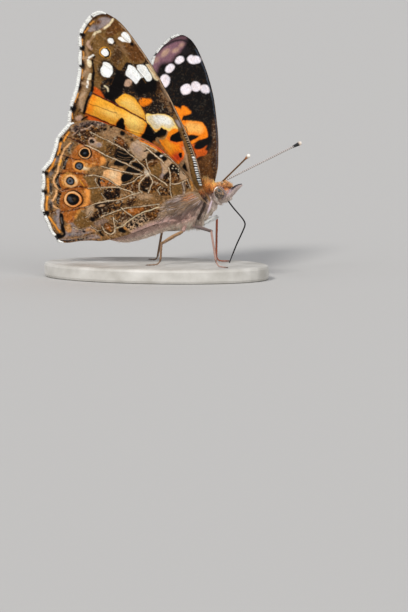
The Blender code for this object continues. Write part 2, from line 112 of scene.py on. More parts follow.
HIND_VEINS = {
    "costa": ((-1.0, 0.4), (-1.2, 3.9), (-2.0, 6.9), (-2.6, 9.0), (-3.6, 11.4), (-5.3, 13.8),
              (-7.3, 16.0), (-9.6, 18.3)),
    "cell_front": ((-1.9, 0.4), (-3.0, 2.6), (-3.5, 4.5), (-4.9, 7.2)),
    "radius": ((-4.9, 7.2), (-5.4, 10.3), (-7.0, 13.3), (-9.0, 16.0), (-10.8, 18.4)),
    "media_1": ((-4.9, 7.2), (-6.5, 9.2), (-8.8, 12.1), (-10.6, 14.5), (-12.8, 17.7)),
    "media_2": ((-4.9, 7.2), (-7.6, 8.6), (-10.0, 10.7), (-12.2, 12.7), (-15.3, 15.6)),
    "cell_back": ((-2.9, 0.4), (-4.6, 2.9), (-6.4, 4.2), (-8.1, 5.4)),
    "media_3": ((-8.1, 5.4), (-9.9, 7.9), (-12.5, 10.3), (-15.0, 11.9), (-18.2, 13.8)),
    "cubitus_1": ((-8.1, 5.4), (-10.5, 7.4), (-13.8, 8.8), (-17.3, 9.8), (-20.2, 11.0)),
    "cubitus_2": ((-8.1, 5.4), (-11.0, 5.4), (-14.0, 6.1), (-18.5, 7.0), (-21.6, 7.8)),
    "anal_1": ((-3.9, 0.4), (-6.5, 2.7), (-9.5, 3.5), (-14.0, 3.9), (-18.5, 3.7), (-22.0, 4.1)),
    "anal_2": ((-4.5, -0.4), (-9.0, 1.1), (-12.6, 1.7), (-16.5, 2.3), (-21.8, 2.9)),
}

# Scale colours, as display values
PALETTE = {
    "black": (0.05, 0.04, 0.04), "soot": (0.13, 0.10, 0.085), "umber": (0.27, 0.17, 0.10),
    "brown": (0.40, 0.25, 0.12), "olive": (0.47, 0.34, 0.18), "tan": (0.62, 0.48, 0.34),
    "fawn": (0.74, 0.61, 0.48), "cream": (0.90, 0.83, 0.68), "white": (0.97, 0.95, 0.91),
    "gold": (1.0, 0.70, 0.22), "pale_gold": (1.0, 0.83, 0.46), "orange": (1.0, 0.53, 0.08),
    "deep_orange": (0.88, 0.38, 0.10), "red": (0.85, 0.28, 0.14), "rust": (0.70, 0.40, 0.16),
    "maroon": (0.36, 0.10, 0.04), "lilac": (0.60, 0.54, 0.53), "pink": (0.76, 0.62, 0.52),
    "peach": (0.95, 0.72, 0.49), "slate": (0.33, 0.38, 0.44), "ochre": (0.84, 0.57, 0.26),
    "mauve": (0.70, 0.56, 0.52), "lavender": (0.74, 0.66, 0.69), "hair_cream": (0.84, 0.77, 0.70),
    "hair_brown": (0.47, 0.34, 0.22), "hair_orange": (0.85, 0.51, 0.23), "hair_gold": (0.86, 0.62, 0.34),
    "hair_pale": (0.76, 0.66, 0.60), "slate_hair": (0.44, 0.37, 0.35), "pink_leg": (0.64, 0.51, 0.46),
    "silver": (0.74, 0.71, 0.69), "red_leg": (0.62, 0.33, 0.22), "brown_leg": (0.50, 0.38, 0.28),
    "eye": (0.46, 0.40, 0.35), "dun": (0.53, 0.39, 0.24), "vein": (0.90, 0.81, 0.68),
    "taupe": (0.64, 0.53, 0.42), "hair_mauve": (0.72, 0.59, 0.55), "snow": (1.0, 1.0, 0.98),
    "band": (0.95, 0.62, 0.30), "star": (0.76, 0.70, 0.62), "peat": (0.10, 0.07, 0.05),
    "blush": (0.86, 0.80, 0.81), "plum": (0.50, 0.36, 0.40), "ink": (0.12, 0.10, 0.11),
    "frost": (0.95, 0.91, 0.93), "smoke": (0.46, 0.42, 0.40), "amber": (0.97, 0.62, 0.22),
}


def linear(colour):
    """Scene-linear value of a display colour."""
    c = np.asarray(colour, float)
    return np.where(c <= 0.04045, c / 12.92, ((c + 0.055) / 1.055) ** 2.4)


def smooth_step(value, low, high):
    t = np.clip((value - low) / (high - low), 0.0, 1.0)
    return t * t * (3 - 2 * t)


NOISE_SIDE = 256
NOISE_TABLE = np.random.default_rng(7).random((NOISE_SIDE, NOISE_SIDE))


def noise(x, y, seed=0):
    """Smooth value noise from 0 to 1 over a plane."""
    x, y = x + 37.3 * seed, y + 91.7 * seed
    i, j = np.floor(x).astype(int), np.floor(y).astype(int)
    u, v = x - i, y - j
    u, v = u * u * (3 - 2 * u), v * v * (3 - 2 * v)
    i0, j0, i1, j1 = i % NOISE_SIDE, j % NOISE_SIDE, (i + 1) % NOISE_SIDE, (j + 1) % NOISE_SIDE
    low = NOISE_TABLE[i0, j0] * (1 - u) + NOISE_TABLE[i1, j0] * u
    high = NOISE_TABLE[i0, j1] * (1 - u) + NOISE_TABLE[i1, j1] * u
    return low * (1 - v) + high * v


def resample(points, step, closed=False):
    """Points at an even step along a smooth curve through the given ones."""
    given = np.array(points, float)
    if closed:
        given = np.vstack([given[-1:], given, given[:2]])
    else:
        given = np.vstack([given[:1], given, given[-1:]])
    curve = []
    for p0, p1, p2, p3 in zip(given, given[1:], given[2:], given[3:]):
        count = max(1, round(float(np.linalg.norm(p2 - p1)) / step))
        for i in range(count):
            t = i / count
            curve.append(0.5 * (2 * p1 + (p2 - p0) * t + (2 * p0 - 5 * p1 + 4 * p2 - p3) * t * t
                                + (3 * p1 - p0 - 3 * p2 + p3) * t ** 3))
    if not closed:
        curve.append(given[-1])
    return np.array(curve)


def lengths_along(path):
    """How far each point of a path lies from its start."""
    return np.concatenate([[0.0], np.cumsum(np.linalg.norm(np.diff(path, axis=0), axis=1))])


def read_at(places, keys, values):
    """Each column of values, read at places between its keys."""
    return np.stack([np.interp(places, keys, column) for column in np.asarray(values).T], -1)


def normed(vectors):
    """Vectors of length one."""
    return vectors / np.linalg.norm(vectors, axis=-1)[..., None]


def line_distance(plan, line):
    nearest = np.full(len(plan), np.inf)
    for start, end in zip(line, line[1:]):
        run = end - start
        t = np.clip((plan - start) @ run / max(run @ run, 1e-12), 0.0, 1.0)
        nearest = np.minimum(nearest, np.linalg.norm(plan - start - t[:, None] * run, axis=1))
    return nearest


def loop_distance(plan, loop):
    """Distance to a closed loop, negative inside it."""
    closed = np.vstack([loop, loop[:1]])
    inside = np.zeros(len(plan), bool)
    x, y = plan.T
    for (x0, y0), (x1, y1) in zip(closed, closed[1:]):
        if y0 != y1:
            crosses = (y0 > y) != (y1 > y)
            inside ^= crosses & (x < (x1 - x0) * (y - y0) / (y1 - y0) + x0)
    return np.where(inside, -1.0, 1.0) * line_distance(plan, closed)


# Marks of the wing patterns. Each knows its colour, its bounds and the distance to its edge.
SOFT = 0.07
MARK_STEP = 0.25
# How far small blotches and single scales break up each colour
MOTTLED = {"olive": 0.4, "dun": 0.6, "umber": 1.0, "brown": 0.9, "tan": 0.4, "fawn": 0.25, "rust": 0.45,
           "lilac": 0.35,
           "maroon": 0.5, "ochre": 0.45, "pink": 0.3, "deep_orange": 0.35, "orange": 0.2, "gold": 0.12,
           "soot": 0.9,
           "slate": 0.3, "peach": 0.15, "pale_gold": 0.08, "taupe": 0.3, "hair_mauve": 0.15}


class Mark:
    def __init__(self, colour, points, reach, distance, soft, strength, grain):
        self.colour, self.distance = linear(PALETTE[colour]), distance
        self.mottled = MOTTLED.get(colour, 0.0)
        self.soft, self.strength, self.grain = soft, strength, grain
        points = np.array(points, float)
        self.low, self.high = points.min(0) - reach - soft, points.max(0) + reach + soft


def patch(colour, *points, soft=SOFT, strength=1.0, grain=0.0):
    loop = resample(points, MARK_STEP, closed=True)
    return Mark(colour, loop, 0.2, lambda plan: loop_distance(plan, loop), soft, strength, grain)


def line(colour, width, *points, soft=SOFT, strength=1.0, grain=0.0):
    path = resample(points, MARK_STEP)
    return Mark(colour, path, width + 0.2, lambda plan: line_distance(plan, path) - width / 2, soft,
                strength, grain)


def speckled(colour, grains, grain, *points, soft=0.1):
    """A patch with loose scales of a second colour over it."""
    return patch(colour, *points, soft=soft), patch(grains, *points, soft=soft, grain=grain)


def seam(colour, width, *points, border="umber", strength=0.95):
    """A pale line, such as a vein, between dark borders."""
    return (line(border, width + 0.22, *points, soft=0.1, strength=0.7),
            line(colour, width, *points, soft=0.05, strength=strength))


def spot(colour, centre, radii, turn=0.0, soft=SOFT, strength=1.0, grain=0.0, ring=0.0):
    """An oval, or the ring of a given width round its edge."""
    radii = np.array(radii if isinstance(radii, tuple) else (radii, radii), float)
    cos, sin = math.cos(math.radians(turn)), math.sin(math.radians(turn))

    def distance(plan):
        x, y = (plan - centre).T
        reach = np.hypot((x * cos + y * sin) / radii[0], (y * cos - x * sin) / radii[1])
        edge = (reach - 1.0) * radii.min()
        return np.abs(edge) - ring / 2 if ring else edge

    return Mark(colour, [centre], radii.max() + ring + 0.2, distance, soft, strength, grain)


# Underside of the forewing
FORE_UNDER = [
    # Olive apex
    patch("brown", (-0.5, 27.1), (0.1, 27.8), (1.1, 28.3), (1.9, 28.4), (2.4, 27.2), (2.6, 26.6),
          (1.5, 26.9), (0.5, 26.7)),
    patch("brown", (0.9, 25.0), (2.0, 24.8), (3.0, 24.5), (3.2, 22.2), (2.6, 21.9), (1.6, 22.0),
          (0.9, 22.6), (1.0, 23.8), soft=0.3),
    patch("umber", (-1.5, 24.2), (-0.8, 24.5), (-0.1, 25.2), (0.6, 25.0), (0.5, 23.9), (-0.3, 23.0),
          (-1.2, 22.7), soft=0.35, strength=0.8),
    line("tan", 0.5, (0.8, 25.3), (0.85, 23.8), soft=0.3, strength=0.6),
    patch("lilac", (-2.4, 28.6), (-1.7, 29.0), (-0.9, 29.3), (0.1, 29.6), (0.9, 29.4), (1.5, 28.8),
          (0.9, 28.5), (-0.3, 28.3), (-1.3, 28.2), soft=0.2),
    spot("brown", (-0.6, 29.2), (0.5, 0.3), soft=0.25),
    spot("umber", (-1.1, 28.5), (0.35, 0.15), 30, soft=0.2, strength=0.7),
    spot("lilac", (0.7, 29.1), (0.4, 0.25), soft=0.2),
    # Black field from the costa across the wing
    patch("soot", (3.5, 22.3), (2.6, 21.6), (1.5, 21.7), (0.9, 22.1), (0.2, 22.5), (-0.5, 22.1),
          (-1.2, 21.8), (-1.8, 22.9), (-2.9, 21.6), (-4.2, 21.4), (-4.8, 20.9), (-5.3, 20.2),
          (-6.1, 20.3), (-4.8, 18.2), (-3.9, 17.3), (-2.6, 18.0), (-1.6, 17.8), (-0.95, 15.6),
          (-0.9, 14.6), (0.2, 14.0), (1.2, 13.8), (1.9, 12.9), (2.7, 12.4), (3.5, 14.0), (3.7, 18.0),
          soft=0.1),
    patch("black", (1.3, 19.8), (2.4, 18.9), (3.0, 18.4), (2.2, 17.2), (0.8, 17.3), (-0.6, 17.6),
          (-0.6, 18.9), (0.3, 19.2), soft=0.3),
    patch("black", (-2.0, 22.3), (-1.2, 21.6), (-0.9, 20.6), (-1.7, 19.4), (-3.2, 18.6), (-4.6, 18.4),
          (-5.2, 19.2), (-4.3, 20.0), (-3.4, 20.9), (-3.0, 21.5), soft=0.3),
    patch("umber", (2.2, 14.4), (2.9, 13.6), (3.2, 15.5), (3.3, 18.3), (2.7, 18.2), (2.0, 16.4), soft=0.3,
          strength=0.8),
    line("tan", 0.35, (2.35, 13.7), (2.5, 15.2), (2.5, 16.6), soft=0.25, strength=0.65, grain=0.45),
    line("tan", 0.3, (1.4, 15.9), (2.1, 15.4), soft=0.2, strength=0.5, grain=0.5),
    line("fawn", 0.3, (2.9, 15.2), (3.05, 17.6), soft=0.2, strength=0.45),
    # Golden fields
    patch("gold", (-4.0, 18.0), (-3.4, 18.35), (-2.6, 18.6), (-1.9, 18.35), (-1.4, 17.7), (-1.15, 16.8),
          (-1.05, 15.5), (-1.2, 14.6), (-1.55, 14.0), (-2.4, 15.3), (-3.2, 16.4)),
    patch("pale_gold", (-3.4, 17.6), (-2.5, 17.9), (-1.7, 17.2), (-1.5, 15.6), (-1.7, 14.9), (-2.8, 16.3),
          soft=0.5, strength=0.7),
    patch("gold", (-6.5, 20.2), (-6.1, 19.9), (-4.9, 18.4), (-3.9, 17.0), (-2.9, 15.6), (-2.0, 14.4),
          (-1.6, 13.7), (-1.7, 13.2), (-2.3, 12.7), (-3.0, 12.2), (-3.6, 12.05), (-4.2, 12.6),
          (-4.6, 13.4), (-4.6, 14.3), (-4.3, 15.0), (-4.2, 15.6), (-4.9, 15.5), (-5.3, 15.25),
          (-5.8, 15.0), (-6.2, 15.3), (-7.6, 16.9), (-8.7, 18.0), (-8.2, 18.6), (-7.6, 19.2),
          (-7.1, 19.6)),
    spot("pale_gold", (-5.4, 16.7), (1.3, 0.55), 135, soft=0.6, strength=0.7),
    spot("pale_gold", (-3.2, 14.3), (1.1, 1.3), soft=0.7, strength=0.8),
    spot("orange", (-7.9, 18.5), (0.9, 0.4), 45, soft=0.5),
    spot("orange", (-6.5, 19.8), (0.6, 0.3), 45, soft=0.4),
    line("orange", 0.2, (-6.9, 15.7), (-5.8, 15.0), (-5.0, 15.4), soft=0.2, strength=0.8),
    line("orange", 0.25, (-4.6, 14.3), (-4.6, 13.4), (-4.2, 12.6), (-3.5, 12.1), (-2.3, 12.7),
         (-1.7, 13.3), soft=0.25),
    patch("deep_orange", (-9.0, 17.4), (-8.7, 17.85), (-7.4, 16.5), (-6.4, 15.3), (-6.8, 15.2),
          (-8.0, 16.3)),
    patch("deep_orange", (-6.15, 20.45), (-5.9, 20.95), (-5.5, 21.05), (-5.2, 20.4), (-5.05, 19.5),
          (-5.3, 19.1), (-5.75, 19.8), soft=0.15),
    patch("orange", (-0.95, 16.0), (-0.3, 15.8), (0.5, 15.9), (0.8, 16.3), (0.2, 16.75), (-0.5, 17.1),
          (-0.95, 16.7), soft=0.14, grain=0.3),
    # Cell
    patch("pale_gold", (-1.42, 14.3), (-0.8, 14.8), (-0.2, 14.35), (0.8, 14.05), (1.6, 13.5),
          (2.05, 12.6), (2.1, 11.4), (1.6, 10.7), (0.5, 11.3), (-0.2, 11.9), (-0.8, 11.7), (-1.2, 11.75),
          (-1.4, 12.8)),
    patch("cream", (-1.15, 14.2), (-0.7, 14.35), (-0.1, 14.2), (0.8, 13.9), (1.5, 13.4), (1.9, 12.6),
          (1.8, 11.7), (1.2, 11.5), (0.6, 11.8), (0.2, 12.3), (-0.4, 12.15), (-0.95, 12.2), (-1.15, 13.0),
          soft=0.15),
    line("orange", 0.16, (-1.3, 12.2), (-0.8, 11.85), (-0.1, 12.0), (0.5, 11.3), (1.3, 10.8), soft=0.12,
         strength=0.7),
    patch("snow", (-0.3, 14.0), (0.6, 13.8), (1.4, 13.3), (1.7, 12.5), (1.2, 12.0), (0.4, 12.6),
          (-0.3, 12.7), soft=0.3, strength=0.7),
    patch("pale_gold", (0.6, 11.5), (1.2, 11.6), (1.8, 11.4), (1.8, 10.8), (1.1, 10.8), soft=0.15),
    patch("black", (-1.45, 11.8), (-0.95, 11.75), (-0.35, 11.9), (-0.1, 12.15), (0.1, 12.1), (0.2, 11.7),
          (0.5, 11.5), (0.3, 11.1), (-0.1, 10.85), (-0.6, 10.65), (-1.1, 10.8), (-1.4, 11.1)),
    patch("black", (-3.3, 11.9), (-2.6, 12.4), (-2.0, 12.9), (-1.5, 13.3), (-1.35, 12.4), (-1.2, 11.8),
          (-1.25, 11.0), (-1.6, 10.9), (-2.0, 10.35), (-2.4, 10.6), (-2.9, 11.3)),
    patch("black", (-5.4, 15.15), (-4.8, 15.45), (-4.3, 15.65), (-4.2, 15.1), (-4.5, 14.6), (-4.7, 14.0),
          (-5.4, 13.4), (-6.2, 14.4), (-5.8, 14.8)),
    # Root
    patch("orange", (-1.25, 10.5), (-0.6, 10.3), (0.0, 10.65), (0.5, 11.05), (1.1, 11.3), (1.6, 11.2),
          (1.9, 11.0), (1.8, 10.3), (1.6, 8.9), (1.35, 8.0), (1.1, 7.3), (0.7, 6.9), (0.1, 6.6),
          (-0.6, 6.2), (-0.85, 6.6), (-1.1, 7.6), (-1.3, 9.0)),
    spot("gold", (-0.5, 9.3), (0.55, 1.0), soft=0.5, strength=0.55),
    spot("red", (-0.2, 7.2), (0.9, 0.7), soft=0.5),
    spot("red", (1.2, 8.5), (0.25, 0.6), -20, soft=0.3, strength=0.7),
    line("red", 0.3, (0.1, 10.3), (0.2, 9.7), (0.8, 9.1), soft=0.3, strength=0.7),
    line("rust", 0.5, (-2.0, 10.4), (-1.65, 9.6), (-1.4, 8.4), soft=0.2),
    patch("black", (0.1, 10.0), (0.5, 10.45), (1.0, 10.55), (1.6, 10.55), (2.15, 10.7), (2.15, 9.8),
          (1.9, 9.2), (1.3, 9.1), (0.7, 9.3), (0.35, 9.6)),
    patch("black", (0.15, 7.5), (0.4, 7.75), (0.68, 7.6), (0.5, 7.1), (0.1, 6.95)),
    patch("black", (-0.45, 5.5), (0.1, 5.95), (0.35, 6.25), (0.1, 5.2), (-0.1, 4.7), (-0.35, 4.9)),
    patch("tan", (-1.0, 6.2), (-0.5, 6.1), (0.2, 6.5), (0.8, 7.0), (0.9, 6.6), (0.4, 6.3), (-0.4, 5.7),
          (-0.2, 4.5), (-0.7, 3.0), (-1.5, 3.6), (-1.3, 5.0), soft=0.1),
    # Olive leading strip with its ladder of dark rungs
    patch("olive", (2.0, 12.2), (2.0, 10.6), (1.75, 9.0), (1.4, 7.6), (0.9, 6.2), (0.4, 5.0), (0.0, 3.6),
          (-0.6, 2.0), (0.6, 1.6), (1.4, 3.4), (2.0, 5.6), (2.5, 8.4), (2.9, 11.0), (3.1, 13.2),
          (2.6, 13.2), soft=0.1),
    line("umber", 0.16, (1.95, 10.8), (1.65, 8.7), (1.2, 7.0), (0.7, 5.4), (0.25, 3.9), soft=0.1,
         strength=0.8),
    line("fawn", 0.22, (1.25, 8.2), (0.85, 6.6), (0.35, 5.1), (-0.1, 3.6), (-0.4, 2.3), soft=0.1,
         strength=0.75),
    line("soot", 0.24, (2.8, 13.5), (2.85, 12.3), (2.75, 11.2), soft=0.1),
    patch("lilac", (2.2, 12.2), (2.6, 12.2), (2.55, 11.2), (2.35, 10.9), (2.2, 11.4), soft=0.15),
    line("rust", 0.2, (1.7, 4.4), (1.2, 3.0), (0.8, 1.6), soft=0.2, strength=0.7),
]


def along(points, reach):
    """Place and crosswise direction a given way along a smooth path."""
    path = resample(points, 0.05)
    steps = lengths_along(path)
    at, ahead = read_at(reach, steps, path), read_at(reach + 0.1, steps, path)
    run = (ahead - at) / max(np.linalg.norm(ahead - at), 1e-9)
    return at, np.array((-run[1], run[0]))


LADDER = ((0.6, 2.2), (1.05, 3.8), (1.5, 5.2), (1.85, 6.4), (2.15, 7.6), (2.4, 9.0), (2.55, 10.4))
LADDER_WHITE = ((0.6, 2.2), (1.05, 3.8), (1.5, 5.2), (1.85, 6.4))
LADDER_STEP = 0.38
FORE_UNDER.append(line("umber", 0.42, *LADDER, soft=0.1, strength=0.9))
FORE_UNDER.append(line("snow", 0.4, *LADDER_WHITE, soft=0.06))
for rung in range(21):
    middle, across = along(LADDER, 0.15 + rung * LADDER_STEP)
    lean = across * 0.22 + np.array((0.0, 0.05))
    if rung > 10:
        FORE_UNDER.append(spot("vein", tuple(middle + across * 0.1), 0.09, soft=0.06, strength=0.8))
        middle = middle + np.array((0.04, 0.13))
    FORE_UNDER.append(line("black", 0.2, middle - lean, middle + lean, soft=0.035))

FORE_UNDER += [
    # Margin: dark edge, orange dashes and the zigzag pale line
    line("umber", 0.5, (1.7, 28.9), (0.9, 29.7), (0.0, 30.1), (-1.1, 29.8), (-2.5, 29.0), (-3.5, 28.1),
         (-4.2, 26.9), (-5.1, 25.3), (-5.9, 23.9), (-7.3, 22.1), (-8.4, 20.8), (-9.5, 19.8),
         (-10.3, 18.9), (-10.9, 18.0), soft=0.15),
    patch("fawn", (-3.8, 26.9), (-4.6, 25.4), (-5.4, 24.0), (-6.9, 22.0), (-8.2, 20.6), (-9.3, 19.2),
          (-8.6, 18.7), (-7.4, 20.4), (-6.3, 21.4), (-5.4, 22.8), (-4.7, 24.2), (-4.0, 25.4), soft=0.3,
          strength=0.55),
    *(line("ochre", 0.22, *dash, soft=0.1) for dash in (
        ((-1.0, 29.6), (-1.6, 29.4)), ((-2.2, 29.0), (-3.0, 28.6)), ((-3.75, 27.9), (-4.1, 27.2)),
        ((-4.5, 26.3), (-5.0, 25.3)), ((-5.9, 24.0), (-6.6, 22.9)), ((-8.2, 21.1), (-9.2, 20.3)),
        ((-10.5, 18.9), (-10.8, 18.2)))),
    *(spot("black", tip, 0.32, soft=0.15) for tip in (
        (-3.3, 28.5), (-4.3, 26.8), (-5.6, 24.6), (-7.6, 22.1), (-9.9, 19.5))),
    spot("black", (-10.0, 19.4), (0.5, 0.4), 45, soft=0.2),
    line("cream", 0.3, (1.6, 28.75), (1.0, 28.45), (0.5, 28.2), (-0.2, 28.1), soft=0.1),
    line("tan", 0.16, (-0.2, 28.1), (-0.9, 27.95), soft=0.1),
    line("cream", 0.34, (-0.9, 27.95), (-1.7, 27.95), (-2.1, 27.6), soft=0.1),
    line("tan", 0.3, (-2.1, 27.6), (-2.9, 27.3), soft=0.12),
    line("pink", 0.4, (-3.1, 27.3), (-3.4, 26.9), (-3.3, 26.2), soft=0.15),
    *(line("white", 0.3, *dash, soft=0.07) for dash in (
        ((-3.5, 25.3), (-4.2, 25.2)), ((-4.45, 24.9), (-4.65, 24.2)), ((-5.2, 22.95), (-5.85, 22.45)),
        ((-6.0, 22.3), (-6.55, 21.5)))),
    *(patch("cream", *shape, soft=0.1, strength=0.85) for shape in (
        ((-4.6, 24.9), (-4.25, 24.8), (-4.3, 24.2), (-4.7, 23.8), (-4.9, 24.2)),
        ((-5.6, 22.9), (-5.2, 23.1), (-5.0, 22.9), (-5.6, 22.3), (-6.0, 22.4)))),
    *(line("fawn", 0.35, *streak, soft=0.12, strength=0.8) for streak in (
        ((-5.2, 25.6), (-4.6, 25.3)), ((-6.3, 23.2), (-5.7, 23.6)), ((-6.9, 22.3), (-6.4, 21.9)))),
    line("fawn", 0.32, (-7.3, 20.9), (-8.2, 20.5), soft=0.14),
    line("fawn", 0.34, (-8.3, 20.3), (-8.7, 19.4), (-8.95, 18.7), soft=0.14),
    patch("pink", (-10.5, 18.1), (-10.0, 18.3), (-9.4, 18.2), (-9.5, 17.6), (-10.2, 17.5), soft=0.15),
    line("black", 0.26, (-3.4, 25.0), (-4.0, 24.6), (-4.25, 23.8), (-4.6, 23.0), soft=0.1),
    line("black", 0.4, (-4.6, 23.0), (-5.2, 22.4), (-5.6, 21.6), (-6.1, 20.9), (-6.8, 20.3), (-7.5, 19.8),
         (-8.2, 19.1), (-8.9, 18.2), soft=0.1),
    line("slate", 0.2, (-6.5, 20.55), (-6.8, 20.3), soft=0.15, strength=0.6),
    line("black", 0.26, (-8.8, 17.6), (-9.7, 17.5), soft=0.1),
    line("umber", 0.3, (-9.2, 18.9), (-9.8, 18.5), soft=0.2),
    line("umber", 0.14, (-2.7, 26.8), (-3.2, 26.3), soft=0.1),
    line("umber", 0.2, (-3.7, 26.2), (-3.3, 25.6), soft=0.12, strength=0.7),
    # White spots
    spot("umber", (-1.8, 25.0), 0.8, ring=0.16, soft=0.1, strength=0.75),
    spot("umber", (-0.3, 26.05), 0.66, ring=0.14, soft=0.1, strength=0.6),
    spot("olive", (-1.8, 24.95), 0.95, ring=0.1, soft=0.1, strength=0.6),
    line("black", 0.3, (-1.15, 25.1), (-1.35, 24.7), (-1.75, 24.35), soft=0.06),
    line("soot", 0.24, (-0.6, 25.7), (-0.2, 25.55), (0.15, 25.7), soft=0.08),
    spot("gold", (-1.75, 24.98), (0.72, 0.75), ring=0.14, soft=0.1, strength=0.7),
    line("black", 0.28, (-1.25, 25.35), (-1.2, 24.8), (-1.6, 24.35), (-2.1, 24.4), soft=0.05),
    spot("snow", (-0.25, 26.15), (0.44, 0.42), soft=0.05),
    spot("snow", (-1.75, 24.98), (0.5, 0.54), soft=0.05),
    patch("soot", (-2.3, 24.1), (-3.4, 23.7), (-4.1, 22.9), (-4.1, 21.9), (-3.4, 21.2), (-2.2, 21.5),
          (-1.6, 22.4), (-1.6, 23.3), soft=0.2, strength=0.8),
    patch("snow", (-2.6, 23.8), (-3.15, 23.4), (-3.65, 22.9), (-3.75, 22.2), (-3.4, 21.75), (-3.0, 21.55),
          (-2.4, 21.85), (-2.0, 22.3), (-1.9, 23.0), (-2.15, 23.5), soft=0.06),
    patch("snow", (0.9, 26.05), (1.25, 26.2), (1.5, 26.0), (1.6, 26.4), (2.0, 26.6), (2.35, 26.4),
          (2.5, 25.9), (2.45, 25.2), (2.1, 24.85), (1.6, 25.15), (1.2, 25.5)),
    line("tan", 0.1, (1.5, 26.2), (1.65, 25.6), (1.9, 25.0), strength=0.8),
    spot("black", (2.3, 24.55), (0.25, 0.3), soft=0.12),
    patch("snow", (0.35, 22.05), (0.75, 21.75), (1.0, 21.3), (1.2, 20.4), (1.35, 19.7), (0.9, 19.65),
          (0.4, 19.4), (0.0, 19.15), (-0.2, 19.6), (-0.5, 20.4), (-0.7, 20.9), (-0.4, 21.4), (0.0, 21.7),
          soft=0.06),
    patch("snow", (1.3, 21.5), (1.9, 21.5), (2.35, 21.1), (2.45, 20.4), (2.45, 19.4), (2.2, 18.85),
          (1.6, 18.9), (1.45, 19.7), (1.25, 20.6), soft=0.06),
    patch("cream", (2.6, 21.2), (2.95, 21.1), (3.15, 20.0), (3.2, 18.6), (2.8, 18.5), (2.55, 19.0),
          (2.6, 20.2), soft=0.1),
    line("ochre", 0.14, (2.75, 20.9), (2.95, 19.6), (3.0, 18.6), soft=0.1, strength=0.7),
    patch("pink", (-1.65, 19.6), (-1.05, 20.3), (-0.55, 20.15), (-0.4, 19.7), (-0.8, 19.4), (-1.3, 19.3),
          soft=0.12),
    line("cream", 0.22, (-4.25, 20.7), (-4.05, 20.2), (-4.15, 19.9), soft=0.12, grain=0.1),
    # Veins that show as lines
    line("maroon", 0.22, (-1.5, 13.8), (-2.0, 14.6), (-3.0, 16.0), (-4.9, 18.6), (-6.3, 20.3)),
    line("maroon", 0.2, (-5.9, 14.9), (-6.6, 15.7), (-7.6, 16.9), (-8.7, 18.1)),
    line("maroon", 0.11, (-4.7, 16.5), (-5.6, 17.3), (-6.5, 18.3), (-7.6, 19.3), strength=0.75),
    line("maroon", 0.14, (-1.5, 13.8), (-1.1, 14.9), (-0.95, 15.9), strength=0.9),
    line("soot", 0.16, (-1.5, 13.8), (-1.42, 12.8), (-1.35, 11.8)),
    line("olive", 0.12, (1.25, 18.8), (0.9, 22.5), (0.35, 24.6), strength=0.5),
    line("tan", 0.13, (0.4, 24.2), (-0.8, 26.6), (-1.8, 28.6), strength=0.45),
    line("tan", 0.13, (-2.9, 23.7), (-4.0, 25.0), (-5.0, 25.9), strength=0.3),
    line("umber", 0.12, (-2.4, 21.3), (-3.6, 20.5), (-5.0, 21.7), (-6.7, 22.9), strength=0.5),
    # Pale leading edge
    line("fawn", 0.18, (0.8, 1.4), (1.5, 4.0), (1.95, 5.6), (2.3, 7.4), (2.6, 9.4), (2.9, 12.0),
         (3.1, 14.5), (3.2, 17.5), (3.2, 20.2), (3.05, 22.6), (2.8, 24.8), (2.5, 26.5), (2.1, 27.9),
         soft=0.06, strength=0.9),
]

